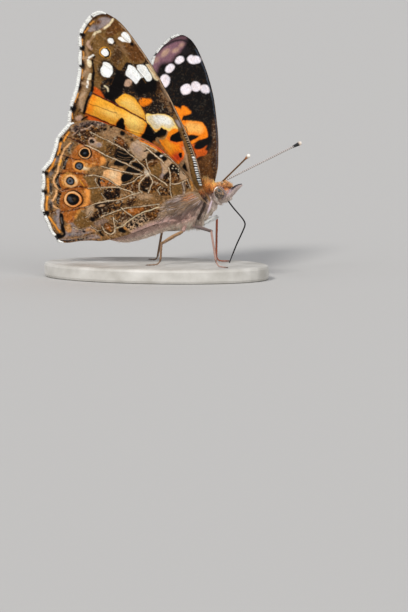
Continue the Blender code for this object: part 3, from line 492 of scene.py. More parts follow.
# Underside of the hindwing
HIND_UNDER = [
    patch("fawn", (-4.9, 11.9), (-3.6, 12.1), (-2.9, 11.2), (-3.0, 10.2), (-3.6, 9.5), (-4.7, 9.2),
          (-5.1, 9.8), (-5.2, 10.8), soft=0.12),
    spot("lilac", (-4.3, 10.9), (0.6, 0.9), soft=0.4, strength=0.5),
    # Zones outward of the cell
    patch("olive", (-7.6, 11.7), (-6.4, 12.9), (-7.4, 15.4), (-9.4, 13.9), (-10.9, 11.6), (-9.9, 10.9),
          soft=0.3),
    patch("tan", (-4.8, 14.2), (-6.2, 15.6), (-7.9, 15.3), (-7.0, 13.4), (-5.9, 12.8), (-5.0, 13.2),
          soft=0.2),
    patch("umber", (-6.4, 16.2), (-8.0, 17.2), (-10.0, 17.7), (-11.4, 16.8), (-10.2, 15.2), (-8.4, 15.4),
          (-7.4, 15.5), soft=0.2),
    patch("lilac", (-6.4, 16.3), (-8.0, 17.3), (-10.0, 17.8), (-11.4, 17.4), (-10.8, 16.9), (-9.0, 17.0),
          (-7.6, 16.5), (-6.9, 15.9), soft=0.25, strength=0.25),
    *(line("pink", 0.2, *arc, soft=0.1) for arc in (
        ((-11.5, 16.5), (-10.4, 16.75), (-9.0, 16.6)), ((-8.8, 16.6), (-8.1, 16.7), (-7.4, 16.4)))),
    *(spot("black", place, (0.28, 0.12), 15, soft=0.1) for place in (
        (-10.5, 17.0), (-11.2, 17.5), (-9.3, 16.95), (-8.1, 16.95), (-9.9, 16.3), (-8.4, 16.2))),
    patch("umber", (-9.4, 14.9), (-8.4, 15.2), (-9.4, 16.3), (-10.7, 16.3), (-11.6, 15.9), (-10.8, 14.5),
          soft=0.3, strength=0.85),
    patch("rust", (-10.0, 14.0), (-11.5, 14.9), (-13.2, 13.9), (-15.0, 12.7), (-16.6, 11.3), (-17.4, 9.6),
          (-18.2, 8.2), (-18.8, 6.8), (-18.6, 5.4), (-17.6, 5.2), (-16.0, 6.3), (-14.4, 6.4),
          (-13.6, 8.6), (-13.2, 10.4), (-11.6, 11.3), (-10.2, 11.0), (-9.2, 11.2), (-9.3, 12.4),
          soft=0.25),
    patch("dun", (-12.2, 15.3), (-13.3, 15.4), (-15.0, 13.9), (-16.4, 12.4), (-17.4, 10.9), (-18.3, 9.5),
          (-18.9, 8.0), (-19.4, 6.4), (-20.0, 4.6), (-20.9, 4.6), (-20.7, 7.0), (-19.9, 9.0),
          (-18.6, 11.2), (-17.4, 12.7), (-15.4, 14.2), (-13.8, 16.1), (-12.2, 16.9), (-11.4, 16.4),
          soft=0.2),
    patch("olive", (-13.6, 10.3), (-13.5, 8.7), (-13.9, 6.3), (-12.2, 6.1), (-11.6, 7.6), (-11.9, 9.0),
          (-12.4, 10.1), soft=0.12),
    patch("olive", (-18.0, 4.9), (-17.8, 3.9), (-17.2, 3.5), (-15.9, 3.4), (-15.4, 4.6), (-14.6, 5.9),
          (-16.2, 6.0), (-17.1, 5.3), soft=0.18),
    patch("fawn", (-15.6, 4.6), (-14.7, 5.0), (-14.0, 5.9), (-14.9, 6.1), (-15.5, 5.5), soft=0.25),
    patch("lilac", (-18.7, 5.0), (-18.0, 4.9), (-17.9, 3.9), (-17.3, 3.4), (-16.0, 3.2), (-15.6, 2.6),
          (-17.5, 2.5), (-19.3, 3.0), (-20.2, 3.5), soft=0.2, strength=0.8),
    patch("rust", (-18.7, 6.6), (-17.9, 6.7), (-17.3, 6.1), (-17.4, 5.4), (-18.2, 5.0), (-18.8, 5.3),
          soft=0.15),
    line("maroon", 0.2, (-18.3, 5.15), (-17.6, 5.4), (-17.2, 5.9), soft=0.15, strength=0.6),
    patch("ochre", (-19.5, 4.0), (-19.4, 4.6), (-18.9, 4.95), (-18.4, 4.85), (-18.6, 4.2), (-19.1, 3.7),
          soft=0.18, strength=0.8),
    line("ochre", 0.4, (-17.2, 5.5), (-16.7, 5.9), (-16.1, 6.2), soft=0.2, strength=0.8),
    patch("lilac", (-20.6, 3.3), (-19.2, 2.6), (-17.4, 2.2), (-16.2, 2.0), (-15.7, 1.2), (-17.5, 1.7),
          (-20.0, 2.5), (-21.0, 3.1), soft=0.2, strength=0.8),
    *(line("umber", 0.14, *streak, soft=0.1, strength=0.85) for streak in (
        ((-18.8, 2.85), (-17.6, 2.55), (-16.2, 2.25)), ((-18.5, 2.25), (-17.3, 2.0), (-16.2, 1.75)),
        ((-19.7, 3.3), (-18.6, 3.05)), ((-18.4, 3.3), (-17.6, 3.1)))),
    # Bright bands inside the eyespots
    line("band", 0.6, (-13.6, 8.6), (-13.9, 7.8), (-14.6, 6.9), (-15.6, 6.4), soft=0.25),
    line("ochre", 0.35, (-14.3, 8.5), (-15.0, 6.9), soft=0.25, strength=0.6),
    patch("band", (-9.9, 11.3), (-9.6, 11.9), (-9.1, 11.8), (-9.1, 11.2), (-9.8, 10.9), (-10.4, 10.9),
          soft=0.2),
    line("ochre", 0.3, (-10.6, 11.6), (-11.6, 11.4), (-12.4, 10.9), soft=0.2, strength=0.8),
    patch("rust", (-14.0, 8.9), (-13.2, 9.0), (-13.3, 10.4), (-14.1, 10.1), soft=0.15),
    line("gold", 0.12, (-13.75, 8.9), (-13.8, 10.2), soft=0.08, strength=0.8),
    line("maroon", 0.2, (-14.2, 8.9), (-14.3, 10.2), soft=0.15, strength=0.6),
    # Dark blocks of the middle
    patch("umber", (-5.2, 12.2), (-5.5, 13.4), (-6.2, 13.9), (-6.8, 13.3), (-6.2, 12.0), (-5.7, 10.8),
          (-5.2, 11.4), soft=0.12, grain=0.2),
    patch("rust", (-5.4, 13.2), (-5.9, 13.6), (-6.3, 12.9), (-5.7, 12.3), soft=0.25, strength=0.5),
    patch("black", (-5.4, 10.9), (-5.9, 11.2), (-6.5, 12.4), (-7.5, 11.7), (-7.7, 10.9), (-6.8, 9.9),
          (-6.4, 9.5), (-5.6, 9.9), (-5.2, 10.2), soft=0.1),
    *(line("tan", 0.07, *ripple, soft=0.07, strength=0.6) for ripple in (
        ((-7.2, 11.3), (-6.6, 10.6), (-5.6, 10.3)), ((-6.9, 11.8), (-6.3, 11.1), (-5.5, 10.7)),
        ((-6.6, 12.1), (-6.1, 11.5)), ((-7.4, 10.9), (-6.8, 10.3), (-6.0, 10.0)))),
    patch("olive", (-6.3, 9.2), (-5.9, 9.4), (-5.3, 9.1), (-5.1, 8.5), (-5.4, 8.0), (-5.9, 8.7),
          soft=0.12, strength=0.6),
    patch("umber", (-6.6, 12.6), (-7.7, 11.4), (-8.6, 12.2), (-8.0, 12.9), (-7.2, 13.2), soft=0.2,
          strength=0.7, grain=0.3),
    patch("black", (-6.2, 9.2), (-5.9, 9.45), (-5.5, 9.35), (-5.1, 8.85), (-5.0, 8.1), (-5.2, 7.75),
          (-5.6, 8.2), (-6.0, 8.8), soft=0.08, grain=0.1),
    patch("black", (-7.4, 8.7), (-6.9, 9.15), (-6.5, 9.05), (-6.1, 8.3), (-5.7, 7.75), (-5.9, 7.5),
          (-6.4, 7.8), (-7.0, 8.35), soft=0.08),
    patch("black", (-8.55, 7.4), (-8.5, 8.05), (-8.1, 8.4), (-7.6, 8.4), (-7.2, 8.05), (-6.7, 7.75),
          (-6.9, 7.5), (-7.8, 7.25), soft=0.08),
    patch("peach", (-10.7, 9.3), (-10.2, 9.95), (-9.6, 9.95), (-8.9, 9.8), (-8.3, 9.1), (-8.1, 8.6),
          (-8.45, 8.2), (-8.7, 7.5), (-9.0, 7.1), (-9.4, 7.2), (-9.9, 8.1), (-10.3, 8.8), soft=0.1),
    spot("cream", (-9.3, 8.9), (0.5, 0.7), -40, soft=0.4, strength=0.5),
    line("peach", 0.26, (-8.6, 9.5), (-8.0, 9.2), (-7.6, 8.9), soft=0.12),
    line("peach", 0.16, (-8.9, 10.2), (-8.2, 9.7), (-7.6, 9.2), soft=0.1, strength=0.8),
    patch("black", (-8.4, 10.3), (-7.75, 10.7), (-7.0, 9.7), (-7.35, 9.5), (-7.9, 9.8), soft=0.08),
    line("black", 0.2, (-9.4, 10.5), (-8.9, 10.9), soft=0.08),
    *speckled("rust", "soot", 0.55, (-11.4, 9.3), (-10.6, 8.6), (-10.1, 8.0), (-10.0, 7.5), (-11.0, 7.8),
              (-11.7, 8.1), soft=0.12),
    line("black", 0.28, (-11.75, 8.1), (-11.6, 8.9), (-11.0, 9.6), soft=0.1),
    *speckled("umber", "black", 0.45, (-11.9, 7.0), (-11.3, 7.5), (-10.6, 7.3), (-9.8, 6.95),
              (-9.45, 6.6), (-9.9, 6.0), (-10.2, 5.5), (-11.0, 5.7), (-11.9, 6.0)),
    line("black", 0.16, (-8.7, 7.2), (-7.6, 7.05), (-6.4, 7.25), (-5.9, 7.3), soft=0.06),
    patch("brown", (-8.7, 6.6), (-8.2, 6.9), (-7.0, 6.75), (-5.9, 7.0), (-6.7, 6.2), (-7.2, 5.3),
          (-8.2, 5.7), (-9.0, 6.3), soft=0.1),
    spot("umber", (-8.6, 6.45), (0.4, 0.25), 30, soft=0.12, grain=0.2),
    *speckled("umber", "black", 0.5, (-5.0, 6.7), (-5.6, 6.5), (-6.5, 6.1), (-6.9, 5.2), (-6.6, 4.7),
              (-6.2, 4.6), (-5.5, 5.3), (-5.0, 5.9)),
    patch("brown", (-4.5, 6.0), (-5.0, 5.3), (-5.9, 4.7), (-5.9, 4.2), (-4.9, 4.3), (-4.0, 4.9),
          (-4.0, 5.5), soft=0.12),
    patch("umber", (-4.8, 4.2), (-4.3, 4.5), (-3.7, 4.3), (-3.45, 3.6), (-3.6, 2.9), (-4.5, 3.2),
          (-5.0, 3.6), soft=0.1, grain=0.3),
    patch("umber", (-9.9, 4.2), (-9.2, 4.8), (-8.3, 5.0), (-8.0, 4.6), (-8.5, 4.0), (-9.0, 3.7),
          (-9.7, 3.8), soft=0.1, grain=0.2),
    patch("fawn", (-8.0, 4.9), (-7.2, 4.7), (-6.3, 4.3), (-6.0, 3.7), (-7.4, 3.9), soft=0.3,
          strength=0.7),
    # Inner angle
    patch("soot", (-13.8, 5.8), (-12.4, 5.8), (-11.0, 5.3), (-10.0, 5.0), (-10.2, 4.2), (-12.0, 4.0),
          (-14.0, 4.1), (-15.6, 3.8), (-15.6, 4.4), (-14.6, 4.9), (-13.8, 5.1), soft=0.15, grain=0.34),
    patch("umber", (-13.8, 5.8), (-12.4, 5.8), (-11.0, 5.3), (-10.0, 5.0), (-10.2, 4.2), (-12.0, 4.0),
          (-14.0, 4.1), (-15.6, 3.8), (-15.6, 4.4), (-14.6, 4.9), (-13.8, 5.1), soft=0.2, strength=0.55),
    spot("black", (-13.1, 5.5), (0.75, 0.3), -10, ring=0.18, soft=0.1),
    spot("fawn", (-13.1, 5.5), (0.4, 0.12), -10, soft=0.1),
    spot("black", (-15.2, 4.15), (0.4, 0.32), 20, soft=0.12, grain=0.15),
    patch("lilac", (-15.3, 3.6), (-13.8, 3.6), (-13.4, 3.0), (-14.6, 2.6), (-15.2, 2.9), soft=0.25,
          strength=0.4),
    patch("umber", (-12.9, 3.5), (-12.0, 3.5), (-11.0, 3.6), (-10.6, 3.2), (-10.2, 2.2), (-10.8, 2.0),
          (-12.4, 2.2), soft=0.12, grain=0.3),
    patch("brown", (-10.3, 3.4), (-9.2, 3.3), (-8.0, 2.95), (-6.6, 2.5), (-6.4, 2.2), (-8.0, 2.2),
          (-9.8, 2.3), soft=0.12),
    patch("rust", (-10.2, 3.3), (-9.2, 3.2), (-8.0, 2.85), (-8.2, 2.3), (-9.8, 2.35), soft=0.2,
          strength=0.7),
    patch("brown", (-14.4, 2.2), (-14.1, 2.9), (-13.5, 2.8), (-13.3, 2.0), (-13.7, 1.3), (-14.2, 1.4),
          soft=0.14),
    spot("rust", (-13.9, 2.1), (0.3, 0.45), soft=0.2, strength=0.6),
    line("soot", 0.2, (-14.3, 1.35), (-13.9, 1.2), (-13.5, 1.35), soft=0.1),
    line("black", 0.34, (-15.25, 2.2), (-15.35, 1.8), (-15.2, 1.35), soft=0.1),
    spot("black", (-17.25, 3.0), (0.22, 0.18), soft=0.1),
    line("ochre", 0.45, (-16.7, 3.0), (-15.9, 2.6), soft=0.25, strength=0.7),
    patch("black", (-12.9, 1.2), (-12.5, 1.4), (-12.0, 1.2), (-11.9, 0.6), (-12.3, 0.4), (-12.7, 0.7),
          soft=0.1),
    spot("black", (-12.5, 1.85), (0.3, 0.16), -20, soft=0.1),
    spot("ochre", (-11.75, 1.1), (0.25, 0.3), soft=0.12, strength=0.7),
    *speckled("fawn", "black", 0.5, (-11.6, 2.0), (-9.8, 2.1), (-8.1, 1.9), (-8.1, 0.2), (-10.0, 0.1),
              (-11.4, 0.2), soft=0.15),
    patch("brown", (-8.1, 1.9), (-7.0, 2.05), (-6.2, 1.8), (-6.0, 1.3), (-6.6, 0.6), (-7.6, 0.2),
          (-8.2, 0.4), soft=0.12),
    *(line("black", 0.16, *streak, soft=0.08) for streak in (
        ((-7.6, 1.85), (-6.9, 1.6)), ((-7.2, 2.0), (-6.6, 1.9)), ((-8.0, 0.5), (-7.4, 0.2)),
        ((-8.2, 0.15), (-7.0, 0.45)), ((-9.0, 1.7), (-8.5, 1.4)))),
    # Cells by the root
    patch("olive", (-4.3, 8.6), (-3.9, 9.2), (-3.3, 9.6), (-2.8, 9.3), (-2.3, 8.0), (-2.4, 7.0),
          (-2.9, 6.3), (-3.5, 5.6), (-4.2, 6.6), (-4.35, 7.6), soft=0.1),
    patch("brown", (-4.2, 8.4), (-3.7, 8.9), (-3.0, 9.0), (-2.5, 8.6), (-2.5, 8.0), (-3.4, 7.8),
          (-4.1, 7.9), soft=0.2),
    patch("lilac", (-2.9, 6.4), (-2.4, 7.4), (-2.4, 7.9), (-2.0, 7.7), (-2.2, 6.8), (-2.6, 6.1),
          (-3.4, 5.6), (-3.5, 6.0), soft=0.2, strength=0.9),
    patch("peat", (-3.9, 8.8), (-3.7, 9.5), (-3.2, 9.75), (-2.8, 9.5), (-2.5, 8.9), (-2.8, 8.5),
          (-3.4, 8.7), soft=0.12),
    patch("fawn", (-2.9, 6.2), (-2.5, 6.9), (-2.35, 7.9), (-1.9, 7.6), (-1.2, 7.8), (-0.9, 7.2),
          (-1.7, 6.8), (-2.1, 6.2), soft=0.14),
    patch("umber", (-4.5, 9.2), (-4.1, 9.2), (-4.25, 8.2), (-4.45, 7.6), (-4.65, 8.2), soft=0.08),
    line("black", 0.24, (-3.6, 10.25), (-3.15, 10.2), soft=0.1),
    patch("black", (-2.6, 9.4), (-2.2, 9.5), (-1.7, 9.3), (-1.45, 8.7), (-1.2, 8.1), (-1.5, 7.75),
          (-1.9, 7.8), (-2.1, 8.4), soft=0.1),
    spot("white", (-1.8, 8.65), (0.22, 0.13), soft=0.1),
    spot("fawn", (-2.15, 9.7), (0.25, 0.12), 40, soft=0.12),
    patch("peat", (-1.7, 6.6), (-1.3, 7.0), (-0.9, 6.9), (-0.6, 6.3), (-0.5, 5.8), (-0.8, 5.2),
          (-1.1, 4.8), (-1.5, 4.2), (-2.3, 4.3), (-2.0, 5.4), soft=0.08),
    patch("brown", (-2.3, 4.5), (-1.9, 5.6), (-1.4, 5.8), (-1.3, 4.9), (-1.6, 4.3), soft=0.15),
    *(spot("vein", place, 0.09, soft=0.06) for place in (
        (-1.05, 6.6), (-0.9, 6.1), (-0.8, 5.6), (-1.3, 6.3), (-0.65, 5.9), (-1.0, 5.2))),
    patch("fawn", (-0.9, 5.1), (-0.5, 5.6), (-0.3, 5.1), (-0.2, 4.5), (-0.3, 4.0), (-1.0, 4.1),
          (-1.1, 4.6), soft=0.12),
    patch("umber", (-3.4, 5.4), (-2.9, 5.9), (-2.3, 6.1), (-2.1, 5.8), (-2.5, 4.9), (-2.9, 4.3),
          (-3.3, 4.7), soft=0.1),
    patch("peat", (-3.2, 5.4), (-2.9, 5.9), (-2.3, 6.1), (-2.1, 5.8), (-2.6, 5.4), (-3.0, 5.0), soft=0.1,
          grain=0.3),
    patch("olive", (-3.1, 4.0), (-1.4, 3.8), (-1.5, 2.8), (-2.0, 2.3), (-3.6, 2.3), (-3.5, 2.9),
          soft=0.15),
    patch("umber", (-1.0, 3.9), (-0.4, 3.9), (-0.4, 3.2), (-0.8, 2.6), (-1.1, 3.2), soft=0.1),
    patch("ochre", (-0.2, 3.4), (0.1, 3.8), (0.0, 2.8), (-0.5, 2.0), (-0.6, 2.4), soft=0.15,
          strength=0.6),
    line("lilac", 0.3, (-1.2, 3.8), (-1.4, 3.0), (-1.8, 2.3), soft=0.12, strength=0.9),
    # Root, under the long hair
    patch("taupe", (-9.1, 0.6), (-7.1, 0.35), (-5.9, 1.4), (-4.8, 2.2), (-3.6, 2.3), (-2.2, 2.3),
          (-0.9, 2.1), (0.1, 1.4), (0.4, -0.6), (-2.0, -2.0), (-6.0, -1.6), (-9.0, -0.8), soft=0.2),
    patch("hair_mauve", (-11.4, 0.1), (-9.0, 0.3), (-6.6, 0.3), (-4.6, 0.6), (-2.4, 0.2), (0.0, -0.4),
          (-2.0, -2.2), (-6.0, -2.2), (-11.0, -0.9), soft=0.3),
    # Pale veins and cell borders
    *(mark for vein in (
        ((-9.0, 16.0), (-8.4, 15.1), (-7.8, 14.3), (-7.0, 13.3), (-6.5, 12.5), (-5.9, 11.5), (-5.4, 10.3),
         (-5.0, 9.0), (-4.75, 8.0), (-4.7, 7.4)),
        ((-10.6, 14.5), (-9.7, 13.5), (-8.8, 12.1), (-7.8, 10.9), (-7.0, 9.9), (-6.5, 9.2), (-6.1, 8.6),
         (-5.7, 8.0), (-5.4, 7.6)),
        ((-6.4, 9.4), (-5.9, 9.7), (-5.5, 9.55), (-5.15, 9.8)),
        ((-10.2, 10.8), (-9.3, 10.1), (-8.4, 9.3), (-7.6, 8.7), (-7.0, 8.15), (-6.3, 7.65), (-5.7, 7.35)),
        ((-8.9, 7.1), (-8.5, 6.95), (-7.8, 6.9), (-7.0, 6.95), (-6.2, 7.15), (-5.5, 7.15)),
        ((-12.6, 10.4), (-11.6, 9.9), (-10.8, 9.3), (-10.3, 8.6), (-9.9, 7.9), (-9.6, 7.2), (-9.1, 6.5),
         (-8.5, 5.9), (-8.1, 5.4)),
        ((-13.4, 8.6), (-12.2, 8.1), (-11.3, 7.7), (-10.5, 7.4), (-9.8, 7.1), (-9.2, 6.5)),
        ((-15.3, 6.2), (-14.0, 6.1), (-13.0, 5.95), (-12.0, 5.75), (-11.0, 5.4), (-10.0, 5.2),
         (-8.2, 5.15), (-7.2, 5.0)),
        ((-5.0, 6.9), (-5.6, 6.75), (-6.6, 6.2), (-7.1, 5.3), (-7.0, 4.8)),
        ((-4.8, 6.8), (-4.75, 5.9), (-5.4, 5.1), (-6.2, 4.4)),
        ((-3.95, 9.2), (-4.25, 8.3), (-4.35, 7.5), (-4.45, 6.8), (-3.8, 5.6), (-3.3, 4.3)),
        ((-3.1, 10.6), (-2.85, 9.9), (-2.5, 8.9), (-2.2, 8.2), (-2.05, 7.6)),
        ((-1.75, 6.7), (-2.0, 5.9), (-2.5, 4.8), (-2.95, 4.1)),
        ((-2.6, 4.3), (-1.9, 4.0), (-1.2, 3.9), (-0.2, 4.0)), ((-4.9, 3.6), (-4.8, 4.3), (-4.2, 4.6)))
        for mark in seam("vein", 0.1, *vein)),
    *(mark for vein in (
        ((-3.1, 4.0), (-3.5, 2.9), (-3.8, 2.1)), ((-1.2, 3.8), (-1.5, 2.7), (-1.7, 2.1)),
        ((-0.3, 4.0), (-0.6, 2.6)), ((-12.5, 3.1), (-12.3, 2.2)),
        ((-14.6, 2.4), (-14.5, 1.5), (-14.0, 1.0), (-13.2, 1.1)),
        ((-15.0, 2.2), (-15.6, 2.4), (-16.0, 3.4)), ((-18.4, 4.4), (-17.9, 3.7), (-17.3, 3.3)),
        ((-1.35, 9.2), (-0.95, 8.0), (-0.6, 6.8), (-0.35, 5.8), (-0.15, 4.8)),
        ((-16.0, 4.8), (-15.4, 4.9), (-14.7, 5.3)), ((-11.8, 9.5), (-12.0, 8.6), (-11.9, 7.6)),
        ((-12.1, 7.2), (-12.1, 6.0)))
        for mark in seam("vein", 0.08, *vein, strength=0.75)),
    spot("star", (-4.95, 7.2), (0.32, 0.5), -15, soft=0.15, strength=0.9),
    spot("vein", (-4.85, 7.0), (0.14, 0.2), soft=0.08, strength=0.8),
    *seam("vein", 0.1, (-14.0, 3.95), (-12.0, 3.9), (-10.5, 3.75), (-9.4, 3.45), (-8.4, 3.1),
          (-7.2, 2.75), (-5.7, 2.25), border="soot", strength=0.85),
    *seam("cream", 0.14, (-13.0, 1.6), (-12.0, 1.5), (-11.0, 1.7), (-9.3, 2.1), (-7.4, 2.05),
          (-5.5, 1.75), strength=0.9),
    *seam("vein", 0.13, (-12.5, 3.1), (-12.9, 2.2), (-13.3, 1.3), (-14.0, 1.0), (-14.6, 1.6),
          (-14.6, 2.7), strength=0.9),
    *seam("vein", 0.12, (-10.8, 4.0), (-10.5, 3.2), (-10.0, 2.3), strength=0.9),
    line("rust", 0.2, (-4.8, 14.3), (-4.1, 13.1), (-3.3, 12.1), soft=0.1, strength=0.8),
    line("red", 0.2, (-3.0, 12.1), (-2.2, 11.0), (-1.6, 9.9), (-1.2, 9.0), soft=0.08, strength=0.9),
    line("orange", 0.2, (-3.3, 11.9), (-2.5, 10.8), (-1.9, 9.9), (-1.5, 9.2), soft=0.08, strength=0.9),
    line("cream", 0.12, (-3.3, 11.5), (-2.8, 10.8), (-2.3, 10.1), (-2.0, 9.7), soft=0.06, strength=0.8),
    *(mark for vein in (
        ((-16.0, 12.3), (-14.5, 11.7), (-13.2, 11.0), (-12.5, 10.4)),
        ((-17.3, 9.8), (-16.0, 9.75), (-14.6, 9.45), (-13.6, 8.8)),
        ((-20.8, 7.7), (-19.6, 7.4), (-18.5, 7.0), (-17.0, 6.6), (-15.4, 6.25)),
        ((-14.4, 14.9), (-13.4, 13.7), (-12.2, 12.7)), ((-12.4, 16.9), (-11.4, 15.7), (-10.7, 14.7)))
        for mark in (line("maroon", 0.34, *vein, soft=0.2, strength=0.6),
                     line("soot", 0.13, *vein, soft=0.08, strength=0.85))),
    # Eyespots
    patch("fawn", (-9.0, 14.4), (-8.4, 13.9), (-8.6, 13.4), (-9.3, 13.5), (-9.6, 14.1), soft=0.12),
    spot("lilac", (-8.8, 13.75), (0.4, 0.3), soft=0.15),
    spot("pink", (-9.4, 14.6), 0.6, soft=0.08),
    spot("soot", (-9.4, 14.6), 0.38, soft=0.08),
    spot("black", (-11.15, 13.45), (1.0, 0.97), soft=0.08, strength=0.95),
    spot("band", (-11.2, 13.5), (0.74, 0.76), ring=0.13, soft=0.06),
    spot("cream", (-11.2, 13.45), (0.74, 0.76), ring=0.05, soft=0.05, strength=0.6),
    spot("black", (-11.2, 13.5), (0.63, 0.62), soft=0.05),
    spot("slate", (-11.2, 13.5), (0.18, 0.14), soft=0.12, strength=0.5),
    patch("ochre", (-13.5, 12.7), (-12.9, 12.9), (-12.2, 12.7), (-11.7, 12.1), (-11.7, 11.5),
          (-12.2, 11.2), (-12.9, 11.3), (-13.6, 11.7), soft=0.15, strength=0.85),
    spot("band", (-12.85, 12.1), (0.78, 0.74), ring=0.2, soft=0.12),
    spot("cream", (-12.4, 11.5), (0.55, 0.26), -35, soft=0.18, strength=0.85),
    spot("black", (-12.85, 12.1), (0.64, 0.6), soft=0.05),
    spot("slate", (-12.85, 12.1), (0.42, 0.4), soft=0.12, strength=0.9),
    spot("black", (-12.85, 12.1), 0.16, soft=0.12),
    patch("ochre", (-16.4, 10.7), (-15.8, 11.7), (-15.0, 12.0), (-14.3, 11.6), (-14.0, 10.8),
          (-14.1, 10.0), (-14.9, 9.7), (-15.8, 9.8), soft=0.15, strength=0.9),
    spot("peach", (-15.05, 10.6), (0.83, 0.8), ring=0.26, soft=0.14, strength=0.9),
    spot("cream", (-14.35, 10.5), (0.14, 0.45), -10, soft=0.12, strength=0.7),
    spot("black", (-15.1, 10.65), 0.64, soft=0.05),
    spot("slate", (-15.15, 10.65), 0.42, soft=0.12, strength=0.9),
    spot("peat", (-15.15, 10.65), (0.2, 0.16), soft=0.12),
    spot("maroon", (-16.15, 8.05), 1.55, ring=0.2, soft=0.25, strength=0.4),
    spot("black", (-16.1, 8.0), (1.42, 1.38), soft=0.06),
    spot("band", (-16.2, 8.05), (1.2, 1.2), soft=0.05),
    spot("cream", (-16.2, 8.1), (1.04, 1.04), ring=0.12, soft=0.1, strength=0.6),
    spot("orange", (-16.0, 7.6), (0.95, 0.65), 20, soft=0.3, strength=0.6),
    spot("black", (-16.2, 8.05), (0.92, 0.92), soft=0.05),
    spot("slate", (-16.45, 8.2), (0.3, 0.4), 20, soft=0.2, strength=0.45),
    spot("olive", (-16.1, 8.0), (0.3, 0.24), soft=0.2, strength=0.3),
    spot("black", (-16.15, 8.0), (0.14, 0.16), soft=0.12),
    # Band of chevrons, lunules and the edge
    line("peach", 0.26, (-12.3, 15.6), (-13.3, 15.3), (-14.2, 14.6), (-15.0, 13.9), soft=0.1),
    line("peach", 0.26, (-15.1, 13.7), (-15.9, 12.7), (-16.5, 12.2), (-17.25, 11.7), (-17.35, 10.9),
         (-17.3, 10.3), soft=0.08),
    line("peach", 0.26, (-17.6, 10.2), (-17.9, 9.8), (-18.5, 9.3), (-19.15, 8.9), (-19.1, 8.2),
         (-18.8, 7.6), soft=0.08),
    line("gold", 0.22, (-14.7, 14.0), (-15.3, 13.4), soft=0.1, strength=0.9),
    *(spot("smoke", place, (0.62, 0.26), turn, soft=0.16) for place, turn in (
        ((-16.9, 12.8), 35), ((-18.1, 11.0), 60), ((-15.2, 14.3), 35), ((-19.3, 8.7), 65),
        ((-19.9, 6.5), 75), ((-13.9, 15.6), 35))),
    line("lilac", 0.4, (-18.9, 7.4), (-19.3, 6.8), (-19.9, 5.8), (-20.1, 4.9), soft=0.15),
    line("soot", 0.3, (-11.9, 15.5), (-12.6, 15.2), (-13.1, 14.6), soft=0.12),
    line("soot", 0.44, (-13.7, 13.9), (-14.4, 13.4), (-14.9, 12.7), soft=0.08),
    line("soot", 0.44, (-16.2, 12.1), (-16.8, 11.4), (-17.0, 10.3), soft=0.08),
    line("soot", 0.44, (-17.4, 9.6), (-18.2, 8.8), (-18.6, 7.9), soft=0.08),
    line("black", 0.56, (-18.9, 6.6), (-19.35, 5.5), (-19.9, 4.3), soft=0.1),
    *(line("smoke", 0.16, *core, soft=0.14, strength=0.7) for core in (
        ((-12.2, 15.35), (-12.8, 14.9)), ((-14.1, 13.6), (-14.6, 13.1)), ((-16.6, 11.6), (-16.9, 10.9)),
        ((-17.9, 9.1), (-18.4, 8.4)), ((-19.1, 6.2), (-19.4, 5.5)))),
    *(line("soot", 0.4, *block, soft=0.16, strength=0.8) for block in (
        ((-13.9, 15.3), (-14.8, 14.6)), ((-15.8, 13.5), (-16.6, 13.0)), ((-17.7, 11.6), (-18.5, 10.1)),
        ((-19.3, 8.8), (-19.9, 7.7)))),
    *(line("amber", 0.24, *arc, soft=0.1, strength=0.95) for arc in (
        ((-11.7, 17.1), (-12.4, 16.7), (-12.9, 16.3)), ((-13.5, 16.2), (-14.1, 15.4), (-14.8, 14.8)),
        ((-15.4, 14.4), (-16.3, 13.7), (-17.2, 13.1)), ((-17.8, 12.3), (-18.2, 11.4), (-18.8, 10.5)),
        ((-19.2, 9.9), (-19.8, 9.0), (-20.3, 8.2)),
        ((-20.6, 7.0), (-20.5, 6.0), (-20.45, 5.0), (-20.4, 4.4)))),
    line("umber", 0.2, (-10.6, 17.6), (-11.7, 17.3), (-12.8, 16.8), (-13.9, 16.2), (-14.8, 15.1),
         (-16.2, 14.1), (-17.6, 13.2), (-18.3, 12.2), (-19.1, 11.0), (-19.7, 9.9), (-20.5, 8.6),
         (-20.85, 7.2), (-20.85, 6.0), (-21.0, 5.0), (-20.9, 3.8), soft=0.1, strength=0.7),
    *(spot("black", tip, radii, turn, soft=0.15) for tip, radii, turn in (
        ((-13.2, 16.7), (0.35, 0.3), 0), ((-15.1, 15.0), (0.4, 0.3), 45), ((-17.6, 13.0), (0.4, 0.28), 0),
        ((-19.1, 10.6), (0.4, 0.3), 45), ((-20.6, 7.7), (0.45, 0.4), 0),
        ((-20.8, 3.8), (0.6, 0.45), -20))),
    line("black", 0.4, (-20.8, 3.7), (-20.2, 3.6), (-19.9, 4.1), soft=0.12),
    line("soot", 0.26, (-21.2, 3.1), (-20.4, 2.75), (-19.6, 2.5), (-18.4, 2.15), (-17.5, 1.95),
         soft=0.12),
    line("black", 0.2, (-20.9, 3.0), (-20.1, 2.65), soft=0.1),
    spot("slate", (-19.3, 3.4), (0.4, 0.15), -25, soft=0.15, strength=0.7),
    line("black", 0.22, (-10.1, 16.75), (-10.7, 16.6), soft=0.1),
    line("black", 0.2, (-7.6, 16.5), (-8.3, 16.9), soft=0.1),
    *(spot("black", place, size, soft=0.1) for place, size in (
        ((-6.9, 15.4), (0.35, 0.2)), ((-5.9, 15.4), (0.3, 0.2)), ((-5.0, 13.9), (0.35, 0.4)),
        ((-4.3, 12.5), (0.2, 0.18)))),
]

